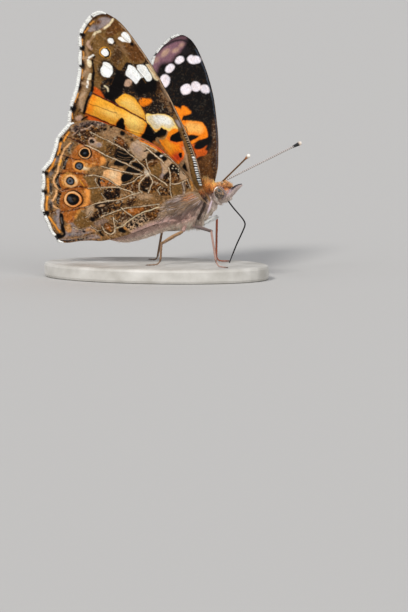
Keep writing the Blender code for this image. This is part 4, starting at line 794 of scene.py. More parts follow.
# Upper side of the forewing, black and orange with pale spots
FORE_UPPER = [
    patch("brown", (0.6, -0.7), (1.8, 4.0), (2.4, 8.0), (1.4, 8.4), (0.4, 7.8), (-1.2, 7.8), (-2.6, 8.6),
          (-4.6, 7.0), (-7.4, 10.4), (-6.0, 4.8), (-3.0, -0.7), soft=0.5),
    patch("umber", (0.9, 2.0), (2.0, 5.6), (2.5, 9.6), (2.9, 13.0), (2.4, 13.0), (1.7, 9.0), (1.0, 6.0),
          soft=0.3),
    patch("deep_orange", (0.9, 9.4), (0.5, 8.8), (0.8, 8.3), (0.4, 7.7), (-0.6, 7.8), (-1.4, 7.4),
          (-2.4, 8.6), (-4.8, 8.2), (-7.2, 10.6), (-9.4, 14.0), (-8.2, 15.4), (-5.6, 13.4), (-3.0, 11.4),
          (-1.2, 10.6), (0.2, 10.0), soft=0.15),
    patch("orange", (-1.9, 15.3), (-1.5, 16.5), (-2.3, 18.2), (-3.6, 18.6), (-5.0, 18.3), (-6.4, 19.5),
          (-8.4, 18.4), (-8.8, 17.3), (-7.2, 15.2), (-5.4, 14.4), (-4.6, 12.4), (-3.0, 12.0),
          (-1.6, 13.6), soft=0.14),
    patch("orange", (-1.9, 15.2), (-1.2, 14.95), (-0.5, 14.5), (0.3, 14.15), (0.9, 13.6), (1.2, 12.8),
          (1.35, 12.0), (1.35, 11.2), (1.2, 10.6), (0.5, 10.8), (-0.3, 10.8), (-1.4, 10.6), (-2.2, 11.6),
          (-2.4, 13.0), soft=0.12),
    patch("pale_gold", (-1.0, 14.5), (0.0, 14.0), (0.7, 13.3), (0.8, 12.2), (0.3, 11.9), (-0.5, 12.4),
          (-1.4, 13.0), (-1.7, 14.0), soft=0.5, strength=0.6),
    patch("black", (-1.5, 12.3), (-1.0, 12.25), (-0.4, 11.9), (0.0, 11.5), (-0.5, 11.25), (-1.4, 11.1),
          (-2.4, 10.8), (-2.9, 11.6), (-2.3, 12.5), soft=0.16),
    patch("black", (-1.0, 10.1), (-0.5, 10.5), (0.3, 10.45), (1.2, 10.65), (1.9, 10.4), (1.6, 9.6),
          (0.8, 9.3), (0.2, 9.15), (-0.4, 9.15), (-0.95, 9.5), soft=0.16),
    spot("black", (-0.6, 7.4), (0.5, 0.3), soft=0.25, strength=0.7),
    patch("orange", (-1.8, 17.0), (-1.35, 17.8), (-0.9, 17.4), (-0.5, 16.6), (-0.35, 16.0), (-0.9, 15.85),
          (-1.5, 16.1), soft=0.18),
    line("lilac", 0.9, (-0.3, 20.4), (1.3, 20.0), (2.45, 19.0), soft=0.12),
    *(spot("frost", place, size, turn, soft=0.12) for place, size, turn in (
        ((-0.35, 20.4), (0.8, 1.02), 10), ((1.15, 20.15), (0.68, 1.0), 15),
        ((2.4, 19.05), (0.55, 0.95), 20))),
    patch("plum", (-6.3, 24.0), (-4.9, 26.5), (-4.3, 28.0), (-3.0, 29.0), (-1.0, 29.8), (0.6, 29.7),
          (1.3, 28.9), (0.6, 27.6), (-0.6, 27.0), (-1.6, 26.3), (-3.3, 26.6), (-4.4, 25.0), soft=0.5),
    spot("ink", (0.95, 27.0), (0.7, 0.65), soft=0.3),
    line("ink", 0.4, (-3.2, 28.9), (-1.0, 29.5), (0.4, 29.3), (1.4, 28.5), soft=0.25),
    spot("frost", (-2.0, 25.2), (0.74, 0.72), soft=0.14),
    spot("frost", (-0.3, 25.85), (0.7, 0.66), soft=0.14),
    patch("frost", (0.8, 25.6), (1.3, 26.0), (1.9, 25.6), (2.5, 25.2), (2.8, 24.5), (2.5, 24.0),
          (1.7, 24.2), (1.0, 24.8), soft=0.14),
    spot("frost", (-3.1, 23.4), (0.78, 1.12), soft=0.14),
    spot("pink", (-2.1, 28.1), (0.7, 0.45), 20, soft=0.3, strength=0.8),
    spot("pink", (-0.5, 27.8), (0.5, 0.4), soft=0.3, strength=0.65),
    spot("pink", (0.45, 28.3), (0.4, 0.4), soft=0.3, strength=0.5),
    spot("pink", (-3.7, 27.6), (0.5, 0.4), 45, soft=0.3, strength=0.5),
    *(line("pink", 0.2, *dash, soft=0.15, strength=0.6) for dash in (
        ((-5.0, 25.4), (-5.7, 24.1)), ((-6.4, 23.0), (-7.6, 21.5)), ((-8.4, 20.7), (-9.4, 19.8)))),
    spot("black", (-7.6, 17.2), (0.55, 0.45), soft=0.15),
    spot("black", (-5.9, 18.2), (0.45, 0.4), soft=0.15),
    *(line("soot", 0.16, *vein, soft=0.08, strength=0.8) for vein in (
        ((-1.5, 13.8), (-3.0, 16.0), (-4.9, 18.6)), ((-1.4, 11.0), (-4.6, 13.7), (-8.5, 17.8)),
        ((-0.9, 8.0), (-1.4, 11.0), (-1.5, 13.8)), ((-4.4, 5.0), (-7.6, 10.6)))),
    line("slate", 0.14, (1.6, 4.6), (2.1, 7.4), (2.6, 10.4), (2.95, 14.0), (3.1, 18.0), (3.0, 21.5),
         (2.7, 24.5), (2.3, 26.6), soft=0.1, strength=0.5),
]

# Upper side of the hindwing, orange with a brown root and rows of dark spots
HIND_UPPER = [
    patch("orange", (-4.8, 12.0), (-8.0, 15.8), (-11.0, 17.0), (-13.8, 15.8), (-16.4, 13.6),
          (-18.6, 10.8), (-20.2, 7.6), (-20.4, 4.8), (-18.0, 3.6), (-14.4, 4.4), (-10.6, 5.2),
          (-8.4, 8.0), (-6.2, 9.2), soft=0.5),
    patch("brown", (-1.0, 9.0), (-3.6, 12.0), (-6.0, 13.6), (-6.6, 11.0), (-8.2, 9.2), (-10.2, 6.4),
          (-13.6, 4.4), (-17.0, 3.0), (-15.0, 0.6), (-8.0, -0.4), (-0.4, -0.6), soft=0.8),
    *(spot("black", place, (0.62, 0.55), soft=0.14) for place in (
        (-11.2, 13.5), (-12.9, 12.1), (-15.1, 10.6), (-16.2, 8.1))),
    *(line("black", 0.5, *mark, soft=0.15) for mark in (
        ((-12.6, 15.2), (-13.4, 14.6)), ((-14.5, 13.6), (-15.2, 12.9)), ((-16.5, 12.0), (-17.2, 11.1)),
        ((-18.0, 9.6), (-18.6, 8.6)), ((-19.0, 6.8), (-19.4, 5.6)))),
    *(spot("black", place, (0.55, 0.4), turn, soft=0.15) for place, turn in (
        ((-13.5, 16.2), -40), ((-15.2, 14.7), -40), ((-17.4, 12.9), -45), ((-19.0, 10.4), -60),
        ((-20.4, 7.6), -80), ((-20.6, 4.6), -80))),
    *(line("umber", 0.16, *vein, soft=0.12, strength=0.7) for vein in HIND_VEINS.values()),
    patch("slate", (-19.6, 4.4), (-19.0, 3.8), (-19.4, 3.3), (-20.2, 3.6), soft=0.2, strength=0.7),
]

# Breadth of the noise that roughens a mark's edge, and how far it moves it
RAGGED = ((0.6, 0.05), (0.25, 0.035))
SPECKLE = 0.2
# Blotches that break up the dull colours: their sizes and shares, and how much they darken or lighten
BLOTCHES = ((0.42, 0.2), (0.2, 0.4), (0.13, 0.4))
BLOTCH_DEPTH, BLOTCH_LIFT = 0.86, 0.45


def paint(plan, ground, marks, seed, ground_mottled, mottling):
    """Colours of a wing's scales: the ground, each mark laid over it, then blotches and single scales."""
    x, y = plan.T
    ragged = plan.copy()
    for axis in (0, 1):
        for number, (size, reach) in enumerate(RAGGED):
            ragged[:, axis] += reach * 2 * (noise(x / size, y / size, seed + 5 * axis + number) - 0.5)
    speckle = 0.6 * noise(x / SPECKLE, y / SPECKLE,
                          seed + 11) + 0.4 * noise(x / 0.11, y / 0.11, seed + 12)
    colour, mottled = ground(plan), np.full(len(plan), ground_mottled)
    for mark in marks:
        near = np.flatnonzero(((ragged > mark.low) & (ragged < mark.high)).all(axis=1))
        cover = mark.strength * smooth_step(mark.distance(ragged[near]), mark.soft, -mark.soft)
        if mark.grain:
            cover *= smooth_step(speckle[near], mark.grain - 0.12, mark.grain + 0.12)
        colour[near] += cover[:, None] * (mark.colour - colour[near])
        mottled[near] += cover * (mark.mottled - mottled[near])
    blotch = sum(share * noise(x / size, y / size, seed + 20 + i) for i,
                 (size, share) in enumerate(BLOTCHES))
    mottled = mottled * mottling
    dark = mottled * smooth_step(blotch, 0.5, 0.3)
    pale = mottled * smooth_step(blotch, 0.54, 0.72)
    warm = smooth_step(noise(x / 0.3, y / 0.3, seed + 24), 0.4, 0.6)[:, None]
    colour *= 1.0 - BLOTCH_DEPTH * dark[:, None]
    lifted = linear(PALETTE["vein"]) * (1 - warm) + linear(PALETTE["ochre"]) * warm
    colour += BLOTCH_LIFT * pale[:, None] * (lifted - colour)
    spread = 1.0 + 0.3 * (noise(x / 0.13, y / 0.2, seed + 13) - 0.5)
    spread = spread + 0.2 * (noise(x / 0.9, y / 1.3, seed + 14) - 0.5)
    warmth = 0.08 * (noise(x / 0.35, y / 0.35, seed + 15) - 0.5)
    return np.clip(colour * spread[:, None] * (1.0 + warmth[:, None] * np.array((1.0, 0.0, -1.0))), 0.0,
                   1.0)


def blend_ground(inner, outer, reach):
    """A ground colour that changes over a stretch of the span."""
    near, far = linear(PALETTE[inner]), linear(PALETTE[outer])

    def ground(plan):
        share = smooth_step(plan[:, 1] - 0.3 * plan[:, 0], *reach)[:, None]
        return near * (1 - share) + far * share
    return ground


def mesh_piece(name, vertices, faces, material, slot, smooth=True):
    """A mesh object in metres from points in millimetres, which rides on the body."""
    data = bpy.data.meshes.new(name)
    data.from_pydata((np.asarray(vertices) * MM).tolist(), [], faces)
    data.polygons.foreach_set("use_smooth", np.full(len(data.polygons), smooth))
    obj = bpy.data.objects.new(name, data)
    bpy.context.scene.collection.objects.link(obj)
    data.materials.append(material)
    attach(obj, "root")
    return obj


def colour_points(obj, colours, name="Pattern"):
    """Stores a scene-linear colour at each vertex."""
    attribute = obj.data.color_attributes.new(name, "FLOAT_COLOR", "POINT")
    rgba = np.ones((len(colours), 4), np.float32)
    rgba[:, :3] = colours
    attribute.data.foreach_set("color", rgba.ravel())


def corner_map(obj, name, corners):
    """Stores a map's place at each corner of each face."""
    layer = obj.data.uv_layers.new(name=name)
    layer.data.foreach_set("uv", np.asarray(corners, np.float32).ravel())


def turn_outward(obj):
    """Turns every face of a closed mesh outward."""
    mesh = bmesh.new()
    mesh.from_mesh(obj.data)
    bmesh.ops.recalc_face_normals(mesh, faces=mesh.faces)
    mesh.to_mesh(obj.data)
    mesh.free()


# Tufts: each is a closed, tapered, bent spike of three sides
TUFT_RINGS = ((0.0, 1.0), (0.55, 0.8))
TUFT_FACES = ((0, 1, 4, 3), (1, 2, 5, 4), (2, 0, 3, 5), (3, 4, 6), (4, 5, 6), (5, 3, 6), (2, 1, 0))
TUFT_PATCH = 0.003


def tufts(name, roots, ways, lifts, lengths, widths, bends, colours, places, material, slot,
          flatness=0.45):
    """One coat piece. ways and lifts are unit vectors, bends moves the tip along the lift, places is the
    root's spot on the unwrapped skin, and colours holds a root and a tip colour for each tuft."""
    count = len(roots)
    ways = normed(ways)
    across = np.cross(ways, lifts)
    across /= np.maximum(np.linalg.norm(across, axis=1), 1e-9)[:, None]
    lifts = np.cross(across, ways)
    points = np.zeros((count, 7, 3))
    for ring, (reach, share) in enumerate(TUFT_RINGS):
        middle = roots + ways * (lengths * reach)[:, None] + lifts * (bends * reach * reach)[:, None]
        half = (widths * share / 2)[:, None]
        points[:, ring * 3] = middle + across * half
        points[:, ring * 3 + 1] = middle - across * half
        points[:, ring * 3 + 2] = middle + lifts * half * 2 * flatness
    points[:, 6] = roots + ways * lengths[:, None] + lifts * bends[:, None]
    faces = []
    for start in range(0, count * 7, 7):
        faces += [tuple(start + i for i in face) for face in TUFT_FACES]
    obj = mesh_piece(name, points.reshape(-1, 3), faces, material, slot)
    tints = np.zeros((count, 7, 3))
    tints[:, :3] = colours[0][:, None]
    tints[:, 3:6] = (0.45 * colours[0] + 0.55 * colours[1])[:, None]
    tints[:, 6] = colours[1]
    colour_points(obj, tints.reshape(-1, 3))
    angle = np.array([2.1 * i for i in range(3)])
    ring = np.stack([np.cos(angle), np.sin(angle)], 1)
    patch_corners = np.vstack([ring, ring * 0.6, [(0.0, 0.0)]]) * TUFT_PATCH / 2
    corners = [patch_corners[i] for face in TUFT_FACES for i in face]
    corner_map(obj, "OFBake", (places[:, None, :] + np.array(corners)[None]).reshape(-1, 2))
    return obj


def new_material(name, roughness, specular=0.5, sheen=0.0):
    """A material, its node tree and its shader."""
    material = bpy.data.materials.new(name)
    material.use_nodes = True
    shader = material.node_tree.nodes["Principled BSDF"]
    shader.inputs["Roughness"].default_value = roughness
    shader.inputs["Specular IOR Level"].default_value = specular
    shader.inputs["Sheen Weight"].default_value = sheen
    return material, material.node_tree, shader


def tone_pattern(tree, shader, source, spread):
    """The stored pattern, made darker or lighter within a spread by another value."""
    pattern = tree.nodes.new("ShaderNodeVertexColor")
    pattern.layer_name = "Pattern"
    tone = tree.nodes.new("ShaderNodeMapRange")
    tone.inputs["To Min"].default_value = 1.0 - spread
    tone.inputs["To Max"].default_value = 1.0 + spread
    shade = tree.nodes.new("ShaderNodeMix")
    shade.data_type, shade.blend_type = "RGBA", "MULTIPLY"
    shade.inputs["Factor"].default_value = 1.0
    tree.links.new(source, tone.inputs["Value"])
    tree.links.new(pattern.outputs["Color"], shade.inputs["A"])
    tree.links.new(tone.outputs["Result"], shade.inputs["B"])
    tree.links.new(shade.outputs["Result"], shader.inputs["Base Color"])


def raise_relief(tree, shader, source, strength, height):
    """Fine relief of a height in millimetres from another value."""
    raised = tree.nodes.new("ShaderNodeBump")
    raised.inputs["Strength"].default_value = strength
    raised.inputs["Distance"].default_value = height * MM
    tree.links.new(source, raised.inputs["Height"])
    tree.links.new(raised.outputs["Normal"], shader.inputs["Normal"])


def scale_material(name, roughness, bump, strength, sheen, spread=0.16, scale=(9.0, 5.0)):
    """Painted scales: the stored pattern, with each scale's own tone and overlap."""
    material, tree, shader = new_material(name, roughness, 0.07, sheen)
    shader.inputs["Sheen Roughness"].default_value = 0.4
    plan = tree.nodes.new("ShaderNodeUVMap")
    plan.uv_map = "Plan"
    stretch = tree.nodes.new("ShaderNodeMapping")
    stretch.inputs["Scale"].default_value = (*scale, 1.0)
    cells = tree.nodes.new("ShaderNodeTexVoronoi")
    cells.inputs["Scale"].default_value = 1.0
    tree.links.new(plan.outputs["UV"], stretch.inputs["Vector"])
    tree.links.new(stretch.outputs["Vector"], cells.inputs["Vector"])
    tone_pattern(tree, shader, cells.outputs["Color"], spread)
    raise_relief(tree, shader, cells.outputs["Distance"], strength, bump)
    return material


def wing_axes(side, twist):
    """Origin and axes of a wing's plan: forward, tipward and outward."""
    opening, sweep_back = HALF_OPENING[side], SWEEP[side] if twist == FORE_TWIST else HIND_SWEEP[side]
    outer = LEFTWARD * side
    span = UPWARD * math.cos(opening) + outer * math.sin(opening)
    face = outer * math.cos(opening) - UPWARD * math.sin(opening)
    chord = FORWARD * math.cos(twist) + face * math.sin(twist)
    outward = face * math.cos(twist) - FORWARD * math.sin(twist)
    tipward = span * math.cos(sweep_back) - chord * math.sin(sweep_back)
    forward = chord * math.cos(sweep_back) + span * math.sin(sweep_back)
    return HINGE + outer * HINGE_HALF_WIDTH, forward, tipward, outward


def fore_lift(plan):
    return CAMBER * np.sin(math.pi * np.clip(plan[:, 1] / CAMBER_SPAN, 0.0, 1.0))


def hind_lift(plan):
    dip = smooth_step(plan[:, 1], 0.8, -1.3) * smooth_step(plan[:, 0], -6.5, -4.0)
    return fore_lift(plan) + LAYER_STEP - ROOT_DIP * dip


# Outer margins: where the fringe begins and ends, how far it stands out, and its blades
FRINGE_ROOM = 0.14
RIM_WIDTH = 0.15
FORE_GAPS = ((-3.6, 28.6, 0.3), (-2.1, 29.7, 0.16), (-0.9, 30.2, 0.18), (-4.6, 26.8, 0.3),
             (-5.9, 24.5, 0.26), (-8.0, 22.1, 0.26),
             (-10.4, 19.6, 0.45))
HIND_GAPS = ((-13.3, 17.1, 0.2), (-15.15, 15.3, 0.2), (-17.95, 13.4, 0.28), (-19.35, 10.9, 0.26),
             (-21.0, 7.8, 0.36), (-21.3, 3.8, 0.4))
FRINGE_RAMP = 9
LEADING_WIDTH = 0.22
LEADING_HEIGHT = 0.1


class Membrane:
    """A wing's plan: points, triangles, edge, and distances from the edge, the veins and the leading edge."""

    def __init__(self, outline, veins, fringe_ends, leading_end, gaps):
        margin = resample(outline, LATTICE, closed=True)
        run = np.roll(margin, -1, axis=0) - np.roll(margin, 1, axis=0)
        inward = np.stack([-run[:, 1], run[:, 0]], 1) / np.linalg.norm(run, axis=1)[:, None]
        first, last, leading = (int(np.argmin(np.linalg.norm(margin - end, axis=1)))
                                for end in (*fringe_ends, leading_end))
        count = np.arange(len(margin))
        fringed = (smooth_step(count, first - FRINGE_RAMP, first + FRINGE_RAMP)
                   * smooth_step(count, last + FRINGE_RAMP, last - FRINGE_RAMP))
        self.edge = margin + inward * (FRINGE_ROOM * fringed)[:, None]
        self.fringed, self.inward = fringed, inward
        lines = [resample(vein, LATTICE) for vein in veins.values()]
        lattice = self.lattice()
        lattice = lattice[loop_distance(lattice, self.edge[::3]) < -0.6 * LATTICE]
        for path in lines:
            lattice = lattice[line_distance(lattice, path[::3]) > 1.4 * RIDGE_WIDTH]
        points, edges = [Vector(p) for p in self.edge], []
        for path in lines:
            step = np.gradient(path, axis=0)
            across = np.stack([-step[:, 1], step[:, 0]], 1) / np.linalg.norm(step, axis=1)[:, None]
            for offset in (0.0, RIDGE_WIDTH, -RIDGE_WIDTH):
                moved = path + across * offset
                moved = moved[loop_distance(moved, self.edge[::3]) < -0.4 * LATTICE]
                edges += [(i, i + 1) for i in range(len(points), len(points) + len(moved) - 1)]
                points += [Vector(p) for p in moved]
        points += [Vector(p) for p in lattice]
        flat, _, triangles, *_ = delaunay_2d_cdt(points, edges, [list(range(len(self.edge)))], 1, 0.02)
        self.plan = np.array([tuple(p) for p in flat])
        self.triangles = np.array(triangles)
        self.to_edge = line_distance(self.plan, np.vstack([self.edge, self.edge[:1]])[::2])
        self.to_vein = np.full(len(self.plan), np.inf)
        for path in lines:
            self.to_vein = np.minimum(self.to_vein, line_distance(self.plan, path[::2]))
        self.to_leading = line_distance(self.plan, self.edge[:leading:2])
        self.to_fringe = line_distance(self.plan, self.edge[fringed > 0.6])
        self.gaps = gaps

    def near_gap(self, plan):
        """Share of dark in the fringe, from 1 at the vein tips to 0."""
        dark = np.zeros(len(plan))
        for a, b, reach in self.gaps:
            dark = np.maximum(dark, smooth_step(np.hypot(plan[:, 0] - a, plan[:, 1] - b), reach + 0.1,
                                                reach - 0.1))
        return dark

    def lattice(self):
        low, high = self.edge.min(0), self.edge.max(0)
        rows = np.arange(low[1], high[1], LATTICE * math.sqrt(3) / 2)
        columns = np.arange(low[0], high[0], LATTICE)
        across, up = np.meshgrid(columns, rows)
        across[1::2] += LATTICE / 2
        return np.stack([across.ravel(), up.ravel()], 1)


def wing(name, side, membrane, twist, lift, outer_colours, inner_colours, material, slot):
    """A thin membrane with raised veins, soft pleats between them and a stout leading edge."""
    plan, to_vein = membrane.plan, membrane.to_vein
    half = EDGE_HALF + (SKIN_HALF - EDGE_HALF) * smooth_step(membrane.to_edge, 0.0, 0.5)
    ridge = np.clip(1.0 - (to_vein / (1.2 * RIDGE_WIDTH)) ** 2, 0.0, 1.0)
    half += RIDGE_HEIGHT * ridge * smooth_step(membrane.to_edge, 0.0, 0.6)
    half += LEADING_HEIGHT * np.clip(1.0 - (membrane.to_leading / LEADING_WIDTH) ** 2, 0.0, 1.0)
    x, y = plan.T
    middle = lift(plan) + PLEAT_DEPTH * (smooth_step(to_vein, 0.0, PLEAT_REACH) - 0.5)
    middle += 0.12 * (noise(x / 3.1, y / 3.1, 40 + side) - 0.5) * smooth_step(y, 4.0, 12.0)
    origin, forward, tipward, outward = wing_axes(side, twist)
    base = origin + plan[:, :1] * forward + plan[:, 1:] * tipward
    outer = base + outward * (middle + half)[:, None]
    inner = base + outward * (middle - half)[:, None]
    triangles = membrane.triangles
    used = {(a, b) for t in triangles.tolist() for a, b in ((t[0], t[1]), (t[1], t[2]), (t[2], t[0]))}
    rim = [(a, b) for a, b in used if (b, a) not in used]
    count = len(plan)
    turn = -1 if side == LEFT else 1
    faces = [tuple(t[::turn]) for t in triangles.tolist()]
    faces += [tuple(count + i for i in t[::-turn]) for t in triangles.tolist()]
    faces += [(b, a, count + a, count + b)[::turn] for a, b in rim]
    obj = mesh_piece(name, np.vstack([outer, inner]), faces, material, slot)
    colour_points(obj, np.vstack([outer_colours, inner_colours]))
    corners = np.zeros(len(obj.data.loops), int)
    obj.data.loops.foreach_get("vertex_index", corners)
    spread = np.vstack([plan, plan])[corners]
    corner_map(obj, "Plan", spread)
    low, high = plan.min(0), plan.max(0)
    flat = (spread - low) / (high - low).max() * 0.96 + 0.02
    inner_face = np.zeros(len(corners), bool)
    inner_face[3 * len(triangles):6 * len(triangles)] = True
    flat[:, 0] = flat[:, 0] * 0.5 / ((high - low)[0] / (high - low).max()) * 0.98
    flat[inner_face, 0] += 0.5
    corner_map(obj, "OFBake", flat)
    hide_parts(name)
    return obj


FRINGE_STEP = 0.028
FRINGE_LENGTH = 0.56
FRINGE_WIDTH = 0.15


def fringe(name, side, membrane, twist, lift, slot, seed):
    """Rows of hair scales along the outer margin, white, with dark groups at the vein tips."""
    rng = np.random.default_rng(seed)
    lengths = lengths_along(membrane.edge)
    reach = np.arange(0.0, lengths[-1], FRINGE_STEP)
    share = np.interp(reach, lengths, membrane.fringed)
    reach = reach[share > 0.08]
    share = share[share > 0.08]
    root = read_at(reach, lengths, membrane.edge)
    way = normed(-read_at(reach, lengths, membrane.inward))
    aside = np.stack([-way[:, 1], way[:, 0]], 1)
    way = way + aside * rng.normal(0.0, 0.16, (len(way), 1))
    root = root - way * 0.09 + aside * rng.normal(0.0, 0.015, (len(way), 1))
    origin, forward, tipward, outward = wing_axes(side, twist)
    layer = rng.uniform(-1.0, 1.0, len(root))
    place = origin + root[:, :1] * forward + root[:, 1:] * tipward
    place = place + outward * (lift(root) - PLEAT_DEPTH * 0.1 + layer * 0.03)[:, None]
    ways = way[:, :1] * forward + way[:, 1:] * tipward + outward * rng.normal(0.0, 0.09, (len(way), 1))
    dark = membrane.near_gap(root + rng.normal(0.0, 0.04, root.shape))[:, None]
    pale = linear(PALETTE["snow"]) * rng.uniform(0.9, 1.0, (len(root), 1))
    base = pale * (1 - dark) + linear(PALETTE["black"]) * dark
    ends = pale * (1 - dark) + linear(PALETTE["soot"]) * dark
    size = FRINGE_LENGTH * np.sqrt(share) * rng.uniform(0.82, 1.1, len(root)) * (1.0 - 0.4 * dark[:, 0])
    low, high = membrane.plan.min(0), membrane.plan.max(0)
    places = (root - low) / (high - low).max() * 0.9 + 0.05
    return tufts(name, place, ways, np.broadcast_to(outward, ways.shape), size,
                 FRINGE_WIDTH * rng.uniform(0.7, 1.2, len(root)), rng.normal(0.0, 0.02, len(root)),
                 (base, ends), places, HAIR, slot, flatness=0.3)


def hair_material(name, roughness, sheen):
    """Hair and hair scales, coloured from root to tip."""
    material, tree, shader = new_material(name, roughness, 0.3, sheen)
    place = tree.nodes.new("ShaderNodeTexCoord")
    grain = tree.nodes.new("ShaderNodeTexNoise")
    grain.inputs["Scale"].default_value = 4000.0
    tree.links.new(place.outputs["Object"], grain.inputs["Vector"])
    tone_pattern(tree, shader, grain.outputs["Fac"], 0.15)
    return material


HAIR = hair_material("hair", 0.6, 0.15)
SCALES = scale_material("wing_scales", roughness=0.7, bump=0.012, strength=0.35, sheen=0.03)

# The four wings. Both of a kind share one plan, its patterns and how mottled its underside is.
WINGS = {
    "forewing": (Membrane(FORE_OUTLINE, FORE_VEINS, ((0.6, 30.2), (-11.9, 17.2)), (1.9, 28.7), FORE_GAPS),
                 FORE_TWIST, fore_lift,
                 (blend_ground("tan", "olive", (8.0, 15.0)), FORE_UNDER),
                 (blend_ground("soot", "black", (6.0, 14.0)), FORE_UPPER),
                 0.4, "fore_wing"),
    "hindwing": (Membrane(HIND_OUTLINE, HIND_VEINS, ((-10.8, 18.1), (-21.2, 3.1)), (-1.6, 10.0),
                          HIND_GAPS), HIND_TWIST, hind_lift,
                 (blend_ground("dun", "dun", (8.0, 15.0)), HIND_UNDER),
                 (blend_ground("brown", "rust", (6.0, 14.0)), HIND_UPPER),
                 1.0, "hind_wing"),
}
# Painted shade: how much darker the scales of the upper side are made, for the lesser light on that side
UPPER_PAINTED_SHADE = 0.82
for number, (kind, (membrane, twist, lift, under, upper, mottling, slot)) in enumerate(WINGS.items()):
    outer_colours = paint(membrane.plan, *under, seed=3 + number, ground_mottled=0.6, mottling=mottling)
    inner_colours = paint(membrane.plan, *upper, seed=30 + number, ground_mottled=0.15, mottling=0.4)
    # Painted shade laid evenly over the whole upper side
    inner_colours *= UPPER_PAINTED_SHADE
    white_rim = smooth_step(membrane.to_fringe, RIM_WIDTH,
                            RIM_WIDTH * 0.4) * (1.0 - membrane.near_gap(membrane.plan))
    for colours in (outer_colours, inner_colours):
        colours += (0.95 * white_rim)[:, None] * (linear(PALETTE["snow"]) - colours)
    for letter, side in SIDES.items():
        wing(f"{kind}_{letter}", side, membrane, twist, lift, outer_colours, inner_colours, SCALES, slot)
        fringe(f"fringe_{kind}_{letter}", side, membrane, twist, lift, slot, seed=50 + 2 * number + side)

# Trunk: forward place, height, half width and half height, from the tip of the abdomen to the face
TRUNK = (
    (-16.2, 1.05, 0.14, 0.14), (-15.95, 0.98, 0.42, 0.42), (-15.0, 0.66, 0.85, 0.86),
    (-13.3, 0.15, 1.26, 1.32),
    (-10.6, -0.17, 1.46, 1.52), (-8.0, -0.40, 1.50, 1.50), (-6.2, -0.60, 1.37, 1.44),
    (-4.9, -0.68, 1.25, 1.33),
    (-4.3, -0.64, 1.42, 1.56), (-3.0, -0.50, 1.80, 2.00), (-1.5, -0.35, 2.00, 2.15),
    (-0.2, -0.15, 1.90, 2.05),
    (0.7, 0.05, 1.50, 1.65), (1.3, 0.10, 1.02, 1.12), (1.8, -0.08, 1.03, 1.13), (2.4, -0.20, 1.06, 1.16),
    (3.0, -0.26, 0.90, 0.98), (3.35, -0.30, 0.62, 0.66), (3.55, -0.33, 0.16, 0.16))
COAT_DEPTH = ((-17.0, 0.05), (-5.0, 0.10), (-3.0, 0.17), (1.0, 0.17), (2.0, 0.10), (3.6, 0.05))
SEGMENTS = 8
SEGMENT_SPAN = (-15.5, -4.9)
GROOVE_DEPTH = 0.06
TRUNK_STEP = 0.09
TRUNK_SIDES = 112
TRUNK_CURVE = resample(TRUNK, 0.05)
TRUNK_CURVE[:, 0] = np.maximum.accumulate(TRUNK_CURVE[:, 0])


def body_point(forward, left, up):
    return (HINGE + np.multiply.outer(forward, FORWARD) + np.multiply.outer(left, LEFTWARD)
            + np.multiply.outer(up, UPWARD))


def bump_at(s, angle, place, direction, along_reach, around_reach):
    """A rounded rise on the trunk, from 1 at its middle to 0."""
    turn = (angle - direction + math.pi) % (2 * math.pi) - math.pi
    return np.exp(-((s - place) / along_reach) ** 2 - (turn / around_reach) ** 2)


def relief(s, angle):
    """Height over the trunk's plain sections: abdomen rings, chest plates, hips and wing bases."""
    start, end = SEGMENT_SPAN
    ring = (s - start) / (end - start) * SEGMENTS
    into = ring - np.floor(ring)
    steep, gentle = np.exp(-(into / 0.07) ** 2), np.exp(-((1 - into) / 0.2) ** 2)
    height = -GROOVE_DEPTH * steep - GROOVE_DEPTH * 0.7 * gentle
    height = height * smooth_step(s, end + 0.3, end - 0.3) * smooth_step(s, start - 0.4, start)
    for side_angle in (0.0, math.pi):
        toward = 1.0 if side_angle == 0.0 else -1.0
        fold = bump_at(s, angle, -10.5, side_angle - toward * 0.35, 6.0, 0.09)
        height = height - 0.05 * fold
        height = height + 0.14 * bump_at(s, angle, 0.15, side_angle + toward * 0.75, 0.5, 0.28)
        for place, lean in ((0.35, 1.05), (-1.3, 1.1), (-2.6, 1.15)):
            height = height + 0.26 * bump_at(s, angle, place, side_angle - toward * lean, 0.5, 0.22)
        for place in (-0.55, -2.05, -3.3):
            sweep_line = s - place - 0.5 * np.sin(angle)
            plate = bump_at(s, angle, place, side_angle - toward * 0.35, 1.0, 0.6)
            height = height - 0.05 * np.exp(-(sweep_line / 0.09) ** 2) * plate
    height = height - 0.05 * bump_at(s, angle, -1.5, math.pi / 2, 2.2, 0.05)
    height = height - 0.07 * bump_at(s, angle, 3.1, math.pi / 2, 0.4, 0.3)
    return height


def trunk_point(s, angle, above=0.0):
    """A place on the trunk's skin, at an angle that starts at the left and goes over the back."""
    up, half_width, half_height = (np.interp(s, TRUNK_CURVE[:, 0], TRUNK_CURVE[:, i]) for i in (1, 2, 3))
    lift = relief(s, angle) * smooth_step(half_width, 0.1, 0.5) - np.interp(s, *zip(*COAT_DEPTH)) + above
    left = (half_width + lift) * np.cos(angle)
    rise = up + (half_height + lift) * np.sin(angle)
    return HINGE + s[..., None] * FORWARD + left[..., None] * LEFTWARD + rise[..., None] * UPWARD


def trunk_frame(s, angle):
    """Place, outward normal and backward direction on the skin."""
    small = 0.02
    place = trunk_point(s, angle)
    behind = trunk_point(s - small, angle) - place
    round_way = trunk_point(s, angle + small) - place
    normal = np.cross(round_way, behind)
    normal = normed(normal)
    outward = place - trunk_point(s, angle, above=-0.3)
    normal *= np.sign((normal * outward).sum(-1))[..., None]
    return place, normal, normed(behind)


def over(base, colour, share):
    """Lays a palette colour over others by a share for each point."""
    return base + share[:, None] * (linear(PALETTE[colour]) - base)


# Where the dark line of the chest runs: sine of the angle round it, and place along it
CHEST_LINE = ((-0.97, -3.45), (-0.81, -2.39), (-0.57, -1.22), (-0.28, -0.23), (0.07, 0.39))


